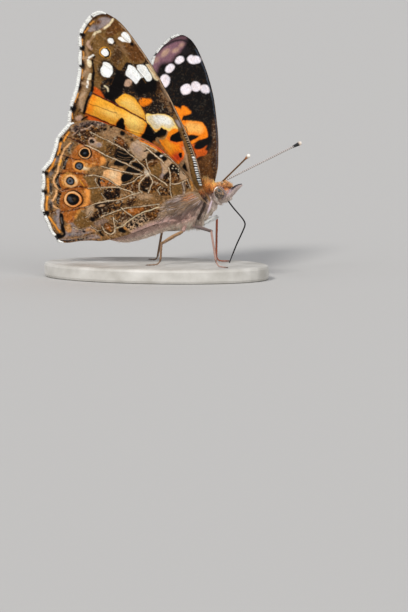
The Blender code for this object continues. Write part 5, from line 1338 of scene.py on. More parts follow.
def trunk_colours(s, angle, seed):
    """Markings that skin and coat share, with a painted highlight on the top of the front."""
    up = np.sin(angle)
    patchy = noise(s / 0.5, angle / 0.3, seed)
    fine = noise(s / 0.16, angle / 0.1, seed + 1)
    colour = np.tile(linear(PALETTE["mauve"]), (len(s), 1))
    colour = over(colour, "hair_cream", smooth_step(up, -0.45, -0.85) * 0.8)
    back = smooth_step(up + 0.25 * (patchy - 0.5), 0.25, 0.6)
    colour = over(colour, "hair_brown", back)
    front = smooth_step(s, -1.2, 0.4)
    colour = over(colour, "hair_orange", front * smooth_step(up + 0.3 * (patchy - 0.5), -0.05, 0.35))
    # Gold on the very top of the front: partly the hair's own colour, partly painted highlight
    colour = over(colour, "hair_gold", front * smooth_step(up, 0.5, 0.9) * 0.5)
    colour = over(colour, "mauve", smooth_step(s, 1.5, 2.4) * smooth_step(fine, 0.3, 0.7) * 0.6)
    wing_base = smooth_step(s, -3.8, -2.8) * smooth_step(up, 0.35, 0.0)
    colour = over(colour, "hair_pale", wing_base * smooth_step(patchy, 0.3, 0.7) * 0.7)
    on_abdomen = smooth_step(s, -4.4, -5.2)
    start, end = SEGMENT_SPAN
    ring = (s - start) / (end - start) * SEGMENTS
    into = ring - np.floor(ring)
    colour = over(colour, "umber", on_abdomen * back * smooth_step(into, 0.75, 0.95) * 0.6)
    colour = over(colour, "hair_cream", on_abdomen * back * smooth_step(into, 0.25, 0.02) * 0.55)
    colour = over(colour, "hair_pale", on_abdomen * smooth_step(up, 0.5, 0.0) * 0.4)
    colour = over(colour, "rust", on_abdomen * smooth_step(s, -13.0, -15.8) * 0.35)
    side_dot = smooth_step(np.abs(up + 0.1), 0.12, 0.02) * smooth_step(np.abs(into - 0.5), 0.22, 0.1)
    colour = over(colour, "umber", on_abdomen * side_dot * 0.6)
    line_place = np.interp(up, *zip(*CHEST_LINE))
    dark_line = np.exp(-((s - line_place) / 0.2) ** 2) * smooth_step(up, 0.35, 0.1)
    colour = over(colour, "soot", dark_line * 0.85)
    below = smooth_step(s, -0.2, 0.8) * smooth_step(up, 0.2, -0.25)
    colour = over(colour, "lavender", below * 0.5)
    colour = over(colour, "hair_cream", below * 0.5)
    return np.clip(colour * (0.75 + 0.3 * fine + 0.2 * patchy)[:, None], 0.0, 1.0)


def soft_material(name, roughness, bump, scale, sheen=0.0, coat=0.0, specular=0.3):
    """Skin under the coat, or horn: the stored pattern with fine relief."""
    material, tree, shader = new_material(name, roughness, specular, sheen)
    shader.inputs["Coat Weight"].default_value = coat
    shader.inputs["Coat Roughness"].default_value = 0.15
    place = tree.nodes.new("ShaderNodeTexCoord")
    cells = tree.nodes.new("ShaderNodeTexVoronoi")
    cells.inputs["Scale"].default_value = scale
    tree.links.new(place.outputs["Object"], cells.inputs["Vector"])
    tone_pattern(tree, shader, cells.outputs["Color"], 0.18)
    raise_relief(tree, shader, cells.outputs["Distance"], 0.5, bump)
    return material


SKIN = soft_material("skin", 0.75, 0.03, 9000.0, sheen=0.1)
HORN = soft_material("horn", 0.42, 0.01, 12000.0, coat=0.1, specular=0.35)
TONGUE_HORN = soft_material("tongue_horn", 0.5, 0.01, 12000.0, specular=0.15)
SHORT_COAT = soft_material("short_coat", 0.65, 0.04, 11000.0, sheen=0.2)


def grid_faces(rings, sides):
    """Quads of a tube of rings, with caps."""
    faces = []
    for ring in range(rings - 1):
        low, high = ring * sides, (ring + 1) * sides
        faces += [(low + i, low + (i + 1) % sides, high + (i + 1) % sides, high + i)
                  for i in range(sides)]
    return faces + [tuple(range(sides))[::-1], tuple(range((rings - 1) * sides, rings * sides))]


# Skin of abdomen, chest and head in one piece
stations = np.arange(TRUNK[0][0], TRUNK[-1][0] + TRUNK_STEP / 2, TRUNK_STEP)
angles = np.arange(TRUNK_SIDES) * 2 * math.pi / TRUNK_SIDES
s_grid, angle_grid = (grid.ravel() for grid in np.meshgrid(stations, angles, indexing="ij"))
skin = mesh_piece("body_skin", trunk_point(s_grid, angle_grid), grid_faces(len(stations), TRUNK_SIDES),
                  SKIN, "body_hair")
colour_points(skin, trunk_colours(s_grid, angle_grid, seed=60) * 0.8)
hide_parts("thorax", "abdomen", "head")

# How long the coat is along the trunk, and how far its tips stand off
HAIR_LENGTH = ((-17.0, 0.45), (-12.0, 0.42), (-6.0, 0.5), (-4.5, 0.9), (-2.0, 1.1), (0.8, 0.95),
               (1.5, 0.6), (2.4, 0.42), (3.5, 0.38))
HAIR_RISE = ((-17.0, 0.05), (-6.0, 0.07), (-4.0, 0.22), (0.8, 0.26), (1.6, 0.2), (3.5, 0.12))
TRUNK_LENGTH = TRUNK[-1][0] - TRUNK[0][0]


def trunk_places(s, angle):
    """Where a root lies on the unwrapped trunk."""
    return np.stack([(angle % (2 * math.pi)) / (2 * math.pi), (s - TRUNK[0][0]) / TRUNK_LENGTH],
                    1) * 0.98 + 0.01


def trunk_coat(name, low, high, count, width, seed, longer=1.0, arc=(math.pi / 2, math.pi),
               lean=(0.0, 0.0), stand=0.0,
               motley=0.0):
    """Tufts over a stretch of the trunk, which lie backward and a little down. An arc keeps to one side
    of it, and lean and stand turn the tufts forward, up and outward."""
    rng = np.random.default_rng(seed)
    s = rng.uniform(low, high, count * 2)
    size = np.interp(s, TRUNK_CURVE[:, 0], TRUNK_CURVE[:, 2])
    s = s[rng.uniform(0.0, size.max(), len(s)) < size][:count]
    angle = arc[0] + arc[1] * rng.uniform(-1.0, 1.0, len(s))
    place, normal, behind = trunk_frame(s, angle)
    round_way = np.cross(normal, behind)
    round_way *= np.sign((round_way * (trunk_point(s, angle + 0.05) - place)).sum(1))[:, None]
    under = smooth_step(np.sin(angle), -0.3, -0.8) * smooth_step(s, -1.6, -0.4)
    down = 0.35 * np.abs(np.cos(angle)) * np.sign(-np.cos(angle))
    wander = rng.normal(0.0, 0.22, len(s))
    rise = np.interp(s, *zip(*HAIR_RISE)) * rng.uniform(0.5, 1.6, len(s)) * (1.0 - 0.7 * under)
    rise = rise + stand * rng.uniform(0.6, 1.3, len(s))
    ways = behind * (1.0 if stand == 0.0
                     else 0.25) + round_way * (down + wander)[:, None] + normal * rise[:, None]
    ways = normed(ways + lean[0] * FORWARD + lean[1] * UPWARD)
    clump = noise(s / 0.35, angle / 0.22, seed)
    length = np.interp(s, *zip(*HAIR_LENGTH)) * rng.uniform(0.65, 1.25, len(s)) * (0.75 + 0.5 * clump)
    length = length * longer * (1.0 - 0.45 * under * (stand == 0.0))
    radius = np.interp(s, TRUNK_CURVE[:, 0], TRUNK_CURVE[:, 3]) + 0.2
    tip_s = s - length * (ways * behind).sum(1)
    tip_angle = angle + length * (ways * round_way).sum(1) / radius
    shade = ((0.7 + 0.6 * clump) * rng.uniform(0.75, 1.25, len(s)))[:, None]
    root_tint = trunk_colours(s, angle, seed=60) * shade
    tip_tint = trunk_colours(tip_s, tip_angle, seed=60) * shade
    if motley:
        pick = rng.uniform(0.0, 1.0, len(s))
        for tint in (root_tint, tip_tint):
            tint[pick < motley] = linear(PALETTE["hair_brown"]) * shade[pick < motley] * 0.8
            tint[pick > 1.0 - motley] = linear(PALETTE["hair_gold"]) * shade[pick > 1.0 - motley]
    # The tips' colours are raised 1.6 times: painted light that offsets the shade between the hairs
    return tufts(name, place - normal * 0.03, ways, normal, length, width * rng.uniform(0.7, 1.3, len(s)),
                 -0.12 * length * (stand == 0.0),
                 (np.clip(root_tint, 0, 1), np.clip(tip_tint * 1.6, 0, 1)),
                 trunk_places(s, angle), HAIR, "body_hair")


trunk_coat("coat_chest", -4.8, 1.3, 14000, 0.055, seed=71)
trunk_coat("coat_abdomen_front", -11.0, -4.6, 10000, 0.07, seed=72)
trunk_coat("coat_abdomen_back", -16.1, -10.8, 7000, 0.07, seed=73)
trunk_coat("coat_head", 1.2, 3.5, 5000, 0.045, seed=74)
# Standing hair: name, stretch, tufts, width, seed, length, arc, lean, stand and motley
BACK, BELLY = math.pi / 2, -math.pi / 2
for name, low, high, count, width, seed, longer, arc, lean, stand, motley in (
        ("collar", -0.5, 1.7, 4200, 0.05, 75, 1.2, (BACK, 1.25), (0.25, 0.1), 0.9, 0.14),
        ("crown", 1.5, 3.1, 2600, 0.045, 76, 1.2, (BACK, 1.0), (0.2, 0.1), 0.9, 0.25),
        ("brow", 2.8, 3.5, 1200, 0.045, 77, 1.7, (BACK, 0.9), (0.5, 0.25), 0.7, 0.25),
        ("chin", 0.9, 3.0, 4200, 0.05, 78, 0.9, (BELLY, 1.75), (0.3, -0.05), 0.6, 0.0),
        ("breast", -4.9, -1.8, 4200, 0.05, 79, 1.05, (BELLY, 1.05), (-0.2, -0.1), 0.5, 0.0)):
    trunk_coat(f"coat_{name}", low, high, count, width, seed, longer, arc, lean, stand, motley)

# Dark line of hair down the side of the chest
LINE_TUFTS = 1500
for letter, side in SIDES.items():
    rng = np.random.default_rng(83 + side)
    sines, line_places = (np.array(column) for column in zip(*resample(CHEST_LINE, 0.02)))
    turns = np.arcsin(np.clip(sines, -1.0, 1.0))
    turns = turns if side == LEFT else math.pi - turns
    path = trunk_point(line_places, turns, above=0.42)
    pick = rng.uniform(0.0, len(path) - 1.001, LINE_TUFTS)
    column = pick.astype(int)
    ways = path[column] - path[column + 1] + rng.normal(0.0, 0.004, (len(pick), 3))
    _, normal, _ = trunk_frame(line_places[column], turns[column])
    tint = np.tile(linear(PALETTE["umber"]), (len(pick), 1)) * rng.uniform(0.4, 1.3, (len(pick), 1))
    aside = normed(np.cross(normal, ways))
    tufts(f"coat_chest_line_{letter}", path[column] + aside * rng.normal(0.0, 0.06, (len(pick), 1))
          - normal * 0.06, ways, normal,
          rng.uniform(0.3, 0.6, len(pick)), rng.uniform(0.04, 0.07, len(pick)), np.zeros(len(pick)),
          (tint, tint),
          trunk_places(line_places[column], turns[column]), HAIR, "body_hair")

# Long hair over the wing roots: where it ends, and how its length changes toward the rear
ROOT_BORDER = ((-9.1, 0.65), (-7.1, 0.3), (-5.9, 1.4), (-4.8, 2.2), (-3.6, 2.25), (-2.2, 2.2),
               (-0.9, 1.95), (0.0, 1.1), (0.9, 1.1))
ROOT_TUFTS, INNER_ROOT_TUFTS = 2600, 900
ROOT_LENGTH = ((-7.0, 0.7), (-4.5, 0.9), (-3.0, 1.5), (0.6, 1.9))
ROOT_TINTS = (("brown", -3.1, 1.3, 0.8, 0.75, 0.8), ("blush", -2.1, 1.9, 0.55, 0.6, 0.5),
              ("hair_orange", -0.6, 1.45, 0.6, 0.5, 0.65),
              ("taupe", -4.2, 0.9, 1.0, 0.7, 0.6), ("soot", -0.2, 0.1, 0.5, 0.25, 0.7))
HIND_PLAN = resample(HIND_OUTLINE, 0.25, closed=True)


def root_coat(name, side, face, count, seed):
    """Long hair from the wing root, swept back over the hindwing's outer face (1) or inner face (-1)."""
    rng = np.random.default_rng(seed)
    plan = np.stack([rng.uniform(-6.9, 0.7, count * 4), rng.uniform(-1.3, 2.3, count * 4)], 1)
    free_edge = np.interp(plan[:, 0], *zip(*ROOT_BORDER)) - rng.uniform(-0.1, 0.5, len(plan))
    plan = plan[(loop_distance(plan, HIND_PLAN) < -0.12) & (plan[:, 1] < free_edge)][:count]
    a, b = plan.T
    origin, forward, tipward, outward = wing_axes(side, HIND_TWIST)
    root = (origin + plan[:, :1] * forward + plan[:, 1:] * tipward
            + outward * (hind_lift(plan) + 0.02 * face)[:, None])
    clump = noise(a / 0.7, b / 0.3, seed)
    climb = 0.1 - 0.6 * smooth_step(b, 1.2, -0.2) + 0.35 * (clump - 0.5) + rng.normal(0.0, 0.1, len(plan))
    ways = (-forward + climb[:, None] * tipward
            + outward * (face * rng.uniform(0.05, 0.17, len(plan)))[:, None])
    length = np.interp(a, *zip(*ROOT_LENGTH)) * rng.uniform(0.65, 1.2, len(plan))
    tint = np.tile(linear(PALETTE["taupe"]), (len(plan), 1))
    tint = over(tint, "hair_mauve", smooth_step(b + 0.5 * (clump - 0.5), 0.7, -0.3))
    for colour, place_a, place_b, reach_a, reach_b, share in ROOT_TINTS:
        tint = over(tint, colour, share * np.exp(-((a - place_a) / reach_a) ** 2
                                                 - ((b - place_b) / reach_b) ** 2))
    pick = rng.uniform(0.0, 1.0, len(plan))
    tint = over(tint, "blush", 0.7 * (pick < 0.12))
    tint = over(tint, "umber", 0.7 * (pick > 0.9))
    tint = tint * (rng.uniform(0.8, 1.4, len(plan)) * (0.8 + 0.5 * clump))[:, None]
    low, high = HIND_PLAN.min(0), HIND_PLAN.max(0)
    places = (plan - low) / (high - low).max() * 0.9 + 0.05
    return tufts(name, root, ways, np.broadcast_to(outward * face, ways.shape), length,
                 rng.uniform(0.06, 0.09, len(plan)),
                 -0.03 * length, (tint * 0.85, np.clip(tint * 1.2, 0, 1)), places, HAIR, "body_hair")


for letter, side in SIDES.items():
    root_coat(f"coat_root_{letter}", side, 1, ROOT_TUFTS, 130 + side)
    root_coat(f"coat_root_inner_{letter}", side, -1, INNER_ROOT_TUFTS, 140 + side)

# Eyes
EYE_CENTRE = (2.17, 1.12, -0.1)
EYE_RADII = (0.8, 0.62, 0.92)
EYE_SIDES, EYE_RINGS = 72, 48
for letter, side in SIDES.items():
    polar = np.linspace(0.0, math.pi, EYE_RINGS)
    turn = np.arange(EYE_SIDES) * 2 * math.pi / EYE_SIDES
    polar, turn = (grid.ravel() for grid in np.meshgrid(polar, turn, indexing="ij"))
    unit = np.stack([np.sin(polar) * np.cos(turn), side * np.cos(polar), np.sin(polar) * np.sin(turn)], 1)
    offset = unit * EYE_RADII
    place = body_point(EYE_CENTRE[0] + offset[:, 0], side * EYE_CENTRE[1] + offset[:, 1],
                       EYE_CENTRE[2] + offset[:, 2])
    eye = mesh_piece(f"eye_{letter}", place, grid_faces(EYE_RINGS, EYE_SIDES), HORN, "eye")
    turn_outward(eye)
    x, z = unit[:, 0], unit[:, 2]
    mottle = noise(x * 9 + z * 4, z * 4, 81) * 0.65 + noise(x * 16, z * 16, 82) * 0.35
    tint = np.tile(linear(PALETTE["eye"]), (len(unit), 1))
    tint = over(tint, "soot", smooth_step(mottle, 0.44, 0.6) * 0.85)
    tint = over(tint, "hair_gold", smooth_step(mottle, 0.36, 0.26) * 0.45)
    pupil = np.hypot(x - 0.3, (z - 0.36) * 0.7)
    tint = over(tint, "black", smooth_step(pupil, 0.26, 0.17))
    rim = np.hypot(x, z)
    tint = over(tint, "lavender", smooth_step(rim, 0.93, 0.98) * 0.6)
    tint = over(tint, "snow", smooth_step(rim, 0.78, 0.86) * smooth_step(x - 0.5 * z, -0.1, -0.5))
    colour_points(eye, tint)
    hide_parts(f"eye_{letter}")


def sweep_tube(path, radii, sides=12, flatness=1.0):
    """Rings of a tube along a path, with the frame carried along it."""
    path, radii = np.asarray(path, float), np.asarray(radii, float)
    run = normed(np.gradient(path, axis=0))
    normal = np.cross(run[0], UPWARD if abs(run[0] @ UPWARD) < 0.9 else FORWARD)
    turn = np.arange(sides) * 2 * math.pi / sides
    rings = []
    for place, way, radius in zip(path, run, radii):
        normal = normed(normal - way * (normal @ way))
        side_way = np.cross(way, normal)
        rings.append(place + radius * (np.cos(turn)[:, None] * normal + flatness * np.sin(turn)[:, None]
                                       * side_way))
    return np.vstack(rings)


def tube_piece(name, parts, material, slot, sides=12):
    """Several tubes in one mesh. Each part is a path, its radii and a colour for each ring."""
    vertices, faces, tints = [], [], []
    for path, radii, colours in parts:
        start = sum(len(v) for v in vertices)
        vertices.append(sweep_tube(path, radii, sides))
        faces += [tuple(start + i for i in face) for face in grid_faces(len(path), sides)]
        tints.append(np.repeat(colours, sides, axis=0))
    obj = mesh_piece(name, np.vstack(vertices), faces, material, slot)
    turn_outward(obj)
    colour_points(obj, np.vstack(tints))
    return obj


def tints_along(count, *stops):
    """Colours along a part, from (share, palette name) stops."""
    t = np.linspace(0.0, 1.0, count)
    shares, names = zip(*stops)
    values = np.array([linear(PALETTE[name]) for name in names])
    return read_at(t, shares, values)


def profile(count, *stops):
    shares, radii = zip(*stops)
    return np.interp(np.linspace(0.0, 1.0, count), shares, radii)


# Feelers: fine ringed shafts with clubs
FEELER_ROOT = (2.6, 0.45, 0.6)
FEELER_KNEE = (3.1, 0.5, 1.25)
FEELER_LENGTH = 13.3
FEELER_SPLAY = {LEFT: math.radians(43.5), RIGHT: math.radians(53.0)}
FEELER_RAISE = {LEFT: math.radians(4.6), RIGHT: math.radians(4.7)}
FEELER_RINGS = 46
FEELER_STEP = 0.05
# How much stouter the left feeler is
LEFT_STOUTER = 1.08
for letter, side in SIDES.items():
    way = FORWARD * math.cos(FEELER_SPLAY[side]) + LEFTWARD * side * math.sin(FEELER_SPLAY[side])
    way = way * math.cos(FEELER_RAISE[side]) + UPWARD * math.sin(FEELER_RAISE[side])
    root = body_point(FEELER_ROOT[0], side * FEELER_ROOT[1], FEELER_ROOT[2])
    knee = body_point(FEELER_KNEE[0], side * FEELER_KNEE[1], FEELER_KNEE[2])
    joints = (root - (knee - root) * 0.25, root + (knee - root) * 0.85, knee + way * 0.2,
              knee + way * FEELER_LENGTH * 0.5,
              knee + way * FEELER_LENGTH)
    path = resample(joints, FEELER_STEP)
    steps = lengths_along(path)
    count = FEELER_RINGS * 6 + 1
    t = np.linspace(0.0, 1.0, count)
    path = read_at(t * steps[-1], steps, path)
    radii = np.interp(t, (0.0, 0.045, 0.055, 0.07, 0.09, 0.5, 0.86, 0.905, 0.94, 0.965, 0.985, 0.995,
                          1.0),
                      (0.15, 0.17, 0.12, 0.14, 0.12, 0.115, 0.12, 0.17, 0.215, 0.265, 0.26, 0.18, 0.05))
    into = (t * FEELER_RINGS) % 1.0
    waist = 1.0 - 0.10 * np.exp(-(np.minimum(into, 1 - into) / 0.12) ** 2)
    radii = radii * waist * (LEFT_STOUTER if side == LEFT else 1.0)
    shaft, club = ("smoke", "black") if side == LEFT else ("umber", "rust")
    tint = tints_along(count, (0.0, "umber"), (0.05, "black"), (0.06, "hair_cream"), (0.075, "umber"),
                       (0.1, shaft), (0.86, shaft),
                       (0.9, club), (0.955, club), (0.97, "hair_cream"), (1.0, "white"))
    pale = (into > 0.3) & (t < 0.9) & (t > 0.09)
    tint[pale] = linear(PALETTE["silver" if side == LEFT else "olive"])
    feeler = tube_piece(f"antenna_{letter}", [(path, radii, tint)], HORN, "feeler", sides=14)
    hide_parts(f"antenna_{letter}")

# Palps
PALP = ((2.6, -0.95, 0.32, 0.5), (3.3, -0.68, 0.34, 0.52), (3.9, -0.45, 0.3, 0.42),
        (4.5, -0.27, 0.24, 0.28), (4.95, -0.2, 0.1, 0.12))
PALP_OFFSET = 0.5
PALP_TUFTS = 2600
PALP_PLUMPNESS = 0.42
for letter, side in SIDES.items():
    curve = resample(PALP, 0.08)
    path = body_point(curve[:, 0], np.full(len(curve), side * PALP_OFFSET), curve[:, 1])
    tint = tints_along(len(curve), (0.0, "hair_cream"), (0.5, "lavender"), (0.85, "mauve"),
                       (1.0, "umber"))
    palp = tube_piece(f"palp_{letter}", [(path, (curve[:, 2] + curve[:, 3]) * PALP_PLUMPNESS, tint)],
                      SHORT_COAT, "palp", sides=20)
    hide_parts(f"palp_{letter}")
    rng = np.random.default_rng(90 + side)
    count = PALP_TUFTS
    t = rng.uniform(0.0, 0.97, count)
    turn = rng.uniform(0.0, 2 * math.pi, count)
    index = t * (len(curve) - 1)
    middle = read_at(index, np.arange(len(curve)), path)
    way = normed(read_at(index, np.arange(len(curve)), np.gradient(path, axis=0)))
    high = np.cross(way, LEFTWARD)
    high *= np.sign(high @ UPWARD)[:, None]
    normal = np.cos(turn)[:, None] * LEFTWARD + np.sin(turn)[:, None] * high
    radius = np.interp(index, np.arange(len(curve)), (curve[:, 2] + curve[:, 3]) * PALP_PLUMPNESS)
    tint = np.tile(linear(PALETTE["lavender"]), (count, 1))
    tint = over(tint, "hair_cream", smooth_step(np.sin(turn), 0.3, -0.5) * 0.6)
    tint = over(tint, "soot", smooth_step(np.sin(turn), -0.05, 0.4) * smooth_step(t, 0.35, 0.55) * 0.95)
    tint = over(tint, "hair_orange", smooth_step(np.sin(turn), 0.2, 0.7) * smooth_step(t, 0.4, 0.15)
                * 0.7)
    tint *= rng.uniform(0.75, 1.2, (count, 1))
    length = rng.uniform(0.22, 0.42, count) * (1.1 - 0.4 * t)
    places = np.stack([turn / (2 * math.pi), t], 1) * 0.96 + 0.02
    tufts(f"coat_palp_{letter}", middle + normal * (radius * 0.9)[:, None],
          way + normal * rng.uniform(0.1, 0.45, (count, 1)),
          normal, length, rng.uniform(0.035, 0.06, count), -0.1 * length,
          (tint * 0.8, np.clip(tint * 1.15, 0, 1)), places, HAIR, "palp")

# Tongue
TONGUE = ((2.72, 0.0, -0.1), (3.62, 0.0, -1.24), (4.47, 0.0, -2.17), (4.98, 0.0, -2.75),
          (5.28, 0.0, -3.25), (5.3, 0.0, -3.75),
          (4.95, 0.0, -4.6), (4.52, 0.0, -5.5), (4.1, 0.0, -6.4), (3.6, 0.0, -7.6), (3.1, 0.0, -8.88))
curve = resample(TONGUE, 0.06)
radii = profile(len(curve), (0.0, 0.11), (0.3, 0.095), (0.45, 0.105), (0.8, 0.1), (1.0, 0.06))
radii = radii * (1.0 - 0.05 * (np.arange(len(curve)) % 3 == 0))
tint = tints_along(len(curve), (0.0, "soot"), (0.12, "black"), (0.45, "black"), (1.0, "black"))
groove = np.array((0.0, 0.04, 0.0))
tongue = tube_piece("proboscis", [(HINGE + curve + groove * way, radii * 0.9, tint) for way in (1, -1)],
                    TONGUE_HORN, "tongue", sides=12)
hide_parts("proboscis")

# Legs: hip, knee and foot places from the hinges, and the colours of thigh, shank and foot
LEGS = {
    "midleg_R": (((-1.6, -0.9, -2.2), (-1.6, -1.2, -3.9), (1.4, -3.0, -4.3), (2.4, -4.05, -8.3),
                  (4.3, -4.9, -9.08)),
                 # The left midleg's thigh is pale, and its snow white is partly painted sunlight
                 ("mauve", "slate_hair", "pink_leg", "pink_leg")),
    "midleg_L": (((-1.5, 0.9, -2.2), (-1.1, 1.2, -3.7), (0.5, 2.7, -2.8), (0.05, 3.85, -8.4),
                  (1.6, 5.0, -9.08)),
                 ("hair_cream", "snow", "red_leg", "red_leg")),
    "hindleg_R": (((-2.4, -0.8, -2.3), (-3.2, -1.2, -4.6), (-5.8, -2.8, -6.2), (-5.65, -3.75, -8.4),
                   (-7.4, -4.6, -9.08)),
                  ("mauve", "tan", "brown_leg", "brown_leg")),
    "hindleg_L": (((-2.4, 0.8, -2.3), (-3.4, 1.5, -4.5), (-7.4, 2.6, -4.8), (-8.4, 3.65, -8.4),
                   (-10.0, 4.6, -9.08)),
                  ("mauve", "hair_cream", "brown_leg", "brown_leg")),
}
COXA = ((0.0, 0.34), (0.5, 0.36), (1.0, 0.24))
THIGH = ((0.0, 0.14), (0.12, 0.18), (0.5, 0.19), (0.9, 0.15), (1.0, 0.12))
SHANK = ((0.0, 0.12), (0.1, 0.16), (0.6, 0.14), (0.95, 0.15), (1.0, 0.11))
TARSUS_PARTS = 5
THIGH_TUFTS, SHANK_TUFTS = 700, 500
# How much fuller the left mid thigh is, whose snow white is partly painted sunlight
SUNLIT_THIGH = 1.5


def straight(start, end, count, bow=0.0):
    t = np.linspace(0.0, 1.0, count)[:, None]
    return start + (end - start) * t + UPWARD * bow * np.sin(math.pi * t)


def spike(start, way, length, radius, colour):
    """A spur or claw, which tapers to its tip."""
    path = straight(start, start + way * length, 5)
    return path, profile(5, (0.0, radius), (0.6, radius * 0.6),
                         (1.0, radius * 0.1)), np.tile(linear(PALETTE[colour]), (5, 1))


def leg_parts(joints, colours, stout):
    hip, thigh_root, knee, ankle, toe = (HINGE + np.array(joint) for joint in joints)
    coxa_colour, thigh_colour, shank_colour, foot_colour = colours
    parts = [(straight(hip, thigh_root, 12), profile(12, *COXA),
              tints_along(12, (0, coxa_colour), (1, coxa_colour))),
             (straight(thigh_root, knee, 24, 0.12), profile(24, *THIGH) * stout,
              tints_along(24, (0, thigh_colour), (0.9, thigh_colour), (1, shank_colour))),
             (straight(knee, ankle, 24, 0.05), profile(24, *SHANK),
              tints_along(24, (0, shank_colour), (1, shank_colour)))]
    drop = ankle + (toe - ankle) * np.array((0.25, 0.25, 0.85))
    curve = resample((ankle, drop, toe), 0.05)
    t = np.linspace(0.0, 1.0, len(curve))
    into = (t * TARSUS_PARTS) % 1.0
    radii = (0.105 - 0.03 * t) * (0.8 + 0.35 * into)
    parts.append((curve, radii, tints_along(len(curve), (0, foot_colour), (0.7, foot_colour),
                                            (1, "umber"))))
    shank_way = normed(ankle - knee)
    foot_way = normed(toe - drop)
    aside = np.cross(foot_way, (0.0, 0.0, 1.0))
    for turn in (-1, 1):
        parts.append(spike(ankle, shank_way * 0.7 + aside * 0.5 * turn, 0.5, 0.045, "umber"))
        parts.append(spike(toe, foot_way * 0.8 + aside * 0.45 * turn + np.array((0, 0, -0.1)), 0.22,
                           0.035, "umber"))
    for share in np.linspace(0.15, 0.9, 7):
        for turn in (-1, 1):
            start = knee + (ankle - knee) * share
            parts.append(spike(start, shank_way * 0.75 + aside * 0.5 * turn, 0.3, 0.022, "umber"))
            start = drop + (toe - drop) * share
            parts.append(spike(start, foot_way * 0.5 + aside * 0.4 * turn + np.array((0, 0, -0.15)), 0.12,
                               0.018, "umber"))
    return parts


def limb_coat(name, start, end, radius, count, colour, length, slot, seed, droop=0.0):
    """Short scales and hairs along a stretch of limb."""
    rng = np.random.default_rng(seed)
    t = rng.uniform(0.0, 1.0, count)
    turn = rng.uniform(0.0, 2 * math.pi, count)
    way = normed(end - start)
    high = normed(UPWARD - way * (UPWARD @ way))
    aside = np.cross(way, high)
    normal = np.cos(turn)[:, None] * aside + np.sin(turn)[:, None] * high
    root = start + (end - start) * t[:, None] + normal * radius * 0.92
    ways = (way + normal * rng.uniform(0.1, 0.4, (count, 1))
            - high * droop * rng.uniform(0.0, 1.0, (count, 1)))
    tint = linear(PALETTE[colour]) * rng.uniform(0.72, 1.25, (count, 1))
    size = length * rng.uniform(0.6, 1.3, count)
    places = np.stack([turn / (2 * math.pi), t], 1) * 0.96 + 0.02
    return tufts(name, root, ways, normal, size, rng.uniform(0.03, 0.055, count), -0.15 * size,
                 (tint * 0.8, np.clip(tint * 1.1, 0, 1)), places, HAIR, slot)


for number, (name, (joints, colours)) in enumerate(LEGS.items()):
    stout = SUNLIT_THIGH if colours[1] == "snow" else 1.0
    leg = tube_piece(name, leg_parts(joints, colours, stout), SHORT_COAT, "leg", sides=14)
    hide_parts(name)
    hip, thigh_root, knee, ankle, toe = (HINGE + np.array(joint) for joint in joints)
    limb_coat(f"coat_thigh_{name}", thigh_root, knee, 0.17 * stout, THIGH_TUFTS, colours[1], 0.26, "leg",
              100 + number, droop=0.2)
    limb_coat(f"coat_shank_{name}", knee, ankle, 0.13, SHANK_TUFTS, colours[2], 0.18, "leg", 110 + number)

# Forelegs, small and brush-like, folded along the chest
FORELEG = ((0.8, -27.0), (0.45, -34.0), (0.05, -43.0), (-0.4, -51.0), (-0.9, -57.0))
for letter, side in SIDES.items():
    stations_along = np.array([place for place, _ in FORELEG])
    turns = np.radians([turn for _, turn in FORELEG])
    turns = turns if side == LEFT else math.pi - turns
    places = trunk_point(stations_along, turns, above=0.2)
    curve = resample(places, 0.08)
    foreleg = tube_piece(f"foreleg_{letter}",
                         [(curve, profile(len(curve), (0.0, 0.14), (0.5, 0.17), (1.0, 0.08)),
                         tints_along(len(curve), (0, "lavender"), (1, "blush")))], SHORT_COAT, "leg",
                         sides=12)
    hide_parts(f"foreleg_{letter}")
    limb_coat(f"coat_foreleg_{letter}", places[0], places[-1], 0.15, 700, "hair_cream", 0.3, "leg",
              120 + side, droop=0.1)

# Base: a smooth pale stone oval
STONE_DARK, STONE_PALE = (0.40, 0.38, 0.34, 1.0), (0.62, 0.60, 0.56, 1.0)
base_finish, tree, shader = new_material("base_stone", 0.55)
place = tree.nodes.new("ShaderNodeTexCoord")
cloud = tree.nodes.new("ShaderNodeTexNoise")
cloud.inputs["Scale"].default_value = 320.0
cloud.inputs["Detail"].default_value = 6.0
ramp = tree.nodes.new("ShaderNodeValToRGB")
for stop, tone, position in zip(ramp.color_ramp.elements, (STONE_DARK, STONE_PALE), (0.3, 0.7)):
    stop.color, stop.position = tone, position
tree.links.new(place.outputs["Object"], cloud.inputs["Vector"])
tree.links.new(cloud.outputs["Fac"], ramp.inputs["Fac"])
tree.links.new(ramp.outputs["Color"], shader.inputs["Base Color"])
raise_relief(tree, shader, cloud.outputs["Fac"], 0.15, 0.05)
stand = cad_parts["stand_base"]
stand.data.materials.clear()
stand.data.materials.append(base_finish)

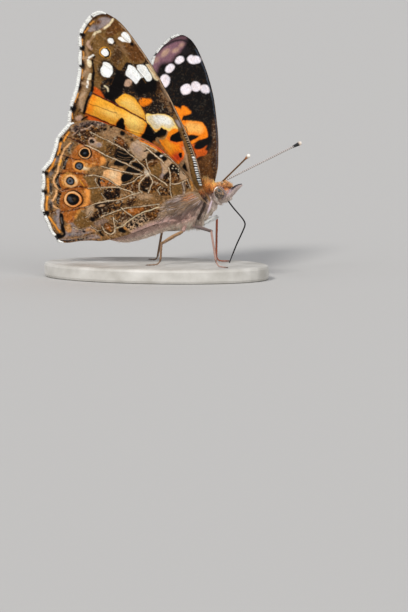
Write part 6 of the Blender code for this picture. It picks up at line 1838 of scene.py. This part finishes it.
# Camera, at the photograph's angle and framing
across = np.array((math.cos(CAMERA_AZIMUTH), math.sin(CAMERA_AZIMUTH), 0.0))
back = np.array((math.sin(CAMERA_AZIMUTH) * math.cos(CAMERA_ELEVATION),
                 -math.cos(CAMERA_AZIMUTH) * math.cos(CAMERA_ELEVATION), math.sin(CAMERA_ELEVATION)))
rise = np.cross(back, across)
eye_point = HINGE + back * CAMERA_DISTANCE
aim_point = (HINGE + across * (PHOTO_WIDTH / 2 - HINGE_PIXEL[0]) / PIXELS_PER_MM
             - rise * (PHOTO_HEIGHT / 2 - HINGE_PIXEL[1]) / PIXELS_PER_MM)
lens = bpy.data.cameras.new("camera")
lens.sensor_width = SENSOR
lens.sensor_fit = "AUTO"
lens.lens = PIXELS_PER_MM * CAMERA_DISTANCE / PHOTO_HEIGHT * SENSOR
lens.clip_start, lens.clip_end = 0.01, 30.0
camera = bpy.data.objects.new("camera", lens)
camera.location = Vector(eye_point * MM)
camera.rotation_euler = Vector((aim_point - eye_point) * MM).to_track_quat("-Z", "Y").to_euler()
bpy.context.scene.collection.objects.link(camera)
bpy.context.scene.camera = camera


def soft_sun(name, azimuth, elevation, spread, strength, colour=(1.0, 1.0, 1.0)):
    """An even soft light from far off, at a bearing turned from the camera's."""
    turn = CAMERA_AZIMUTH + math.radians(azimuth)
    tilt = math.radians(elevation)
    way = np.array((math.sin(turn) * math.cos(tilt), -math.cos(turn) * math.cos(tilt), math.sin(tilt)))
    data = bpy.data.lights.new(name, "SUN")
    data.energy, data.color, data.angle = strength, colour, math.radians(spread)
    light = bpy.data.objects.new(name, data)
    light.rotation_euler = Vector(-way).to_track_quat("-Z", "Y").to_euler()
    bpy.context.scene.collection.objects.link(light)


# Plain pale floor, its radius in metres
FLOOR_RADIUS = 4.0
FLOOR_COLOUR = (0.50, 0.49, 0.475, 1.0)
floor_data = bpy.data.meshes.new("floor")
floor_bm = bmesh.new()
bmesh.ops.create_circle(floor_bm, cap_ends=True, segments=64, radius=FLOOR_RADIUS)
floor_bm.to_mesh(floor_data)
floor_bm.free()
floor = bpy.data.objects.new("floor", floor_data)
bpy.context.scene.collection.objects.link(floor)
floor_finish, _, shader = new_material("floor", 0.9)
shader.inputs["Base Color"].default_value = FLOOR_COLOUR
floor_data.materials.append(floor_finish)

# Soft studio light
soft_sun("key", -28.0, 42.0, 16.0, 2.15, (1.0, 0.98, 0.95))
soft_sun("fill", 38.0, 22.0, 40.0, 0.9)
world = bpy.data.worlds.new("studio")
world.use_nodes = True
world.node_tree.nodes["Background"].inputs["Color"].default_value = (0.93, 0.95, 1.0, 1.0)
world.node_tree.nodes["Background"].inputs["Strength"].default_value = 0.55
bpy.context.scene.world = world
bpy.context.scene.view_settings.view_transform = "Standard"
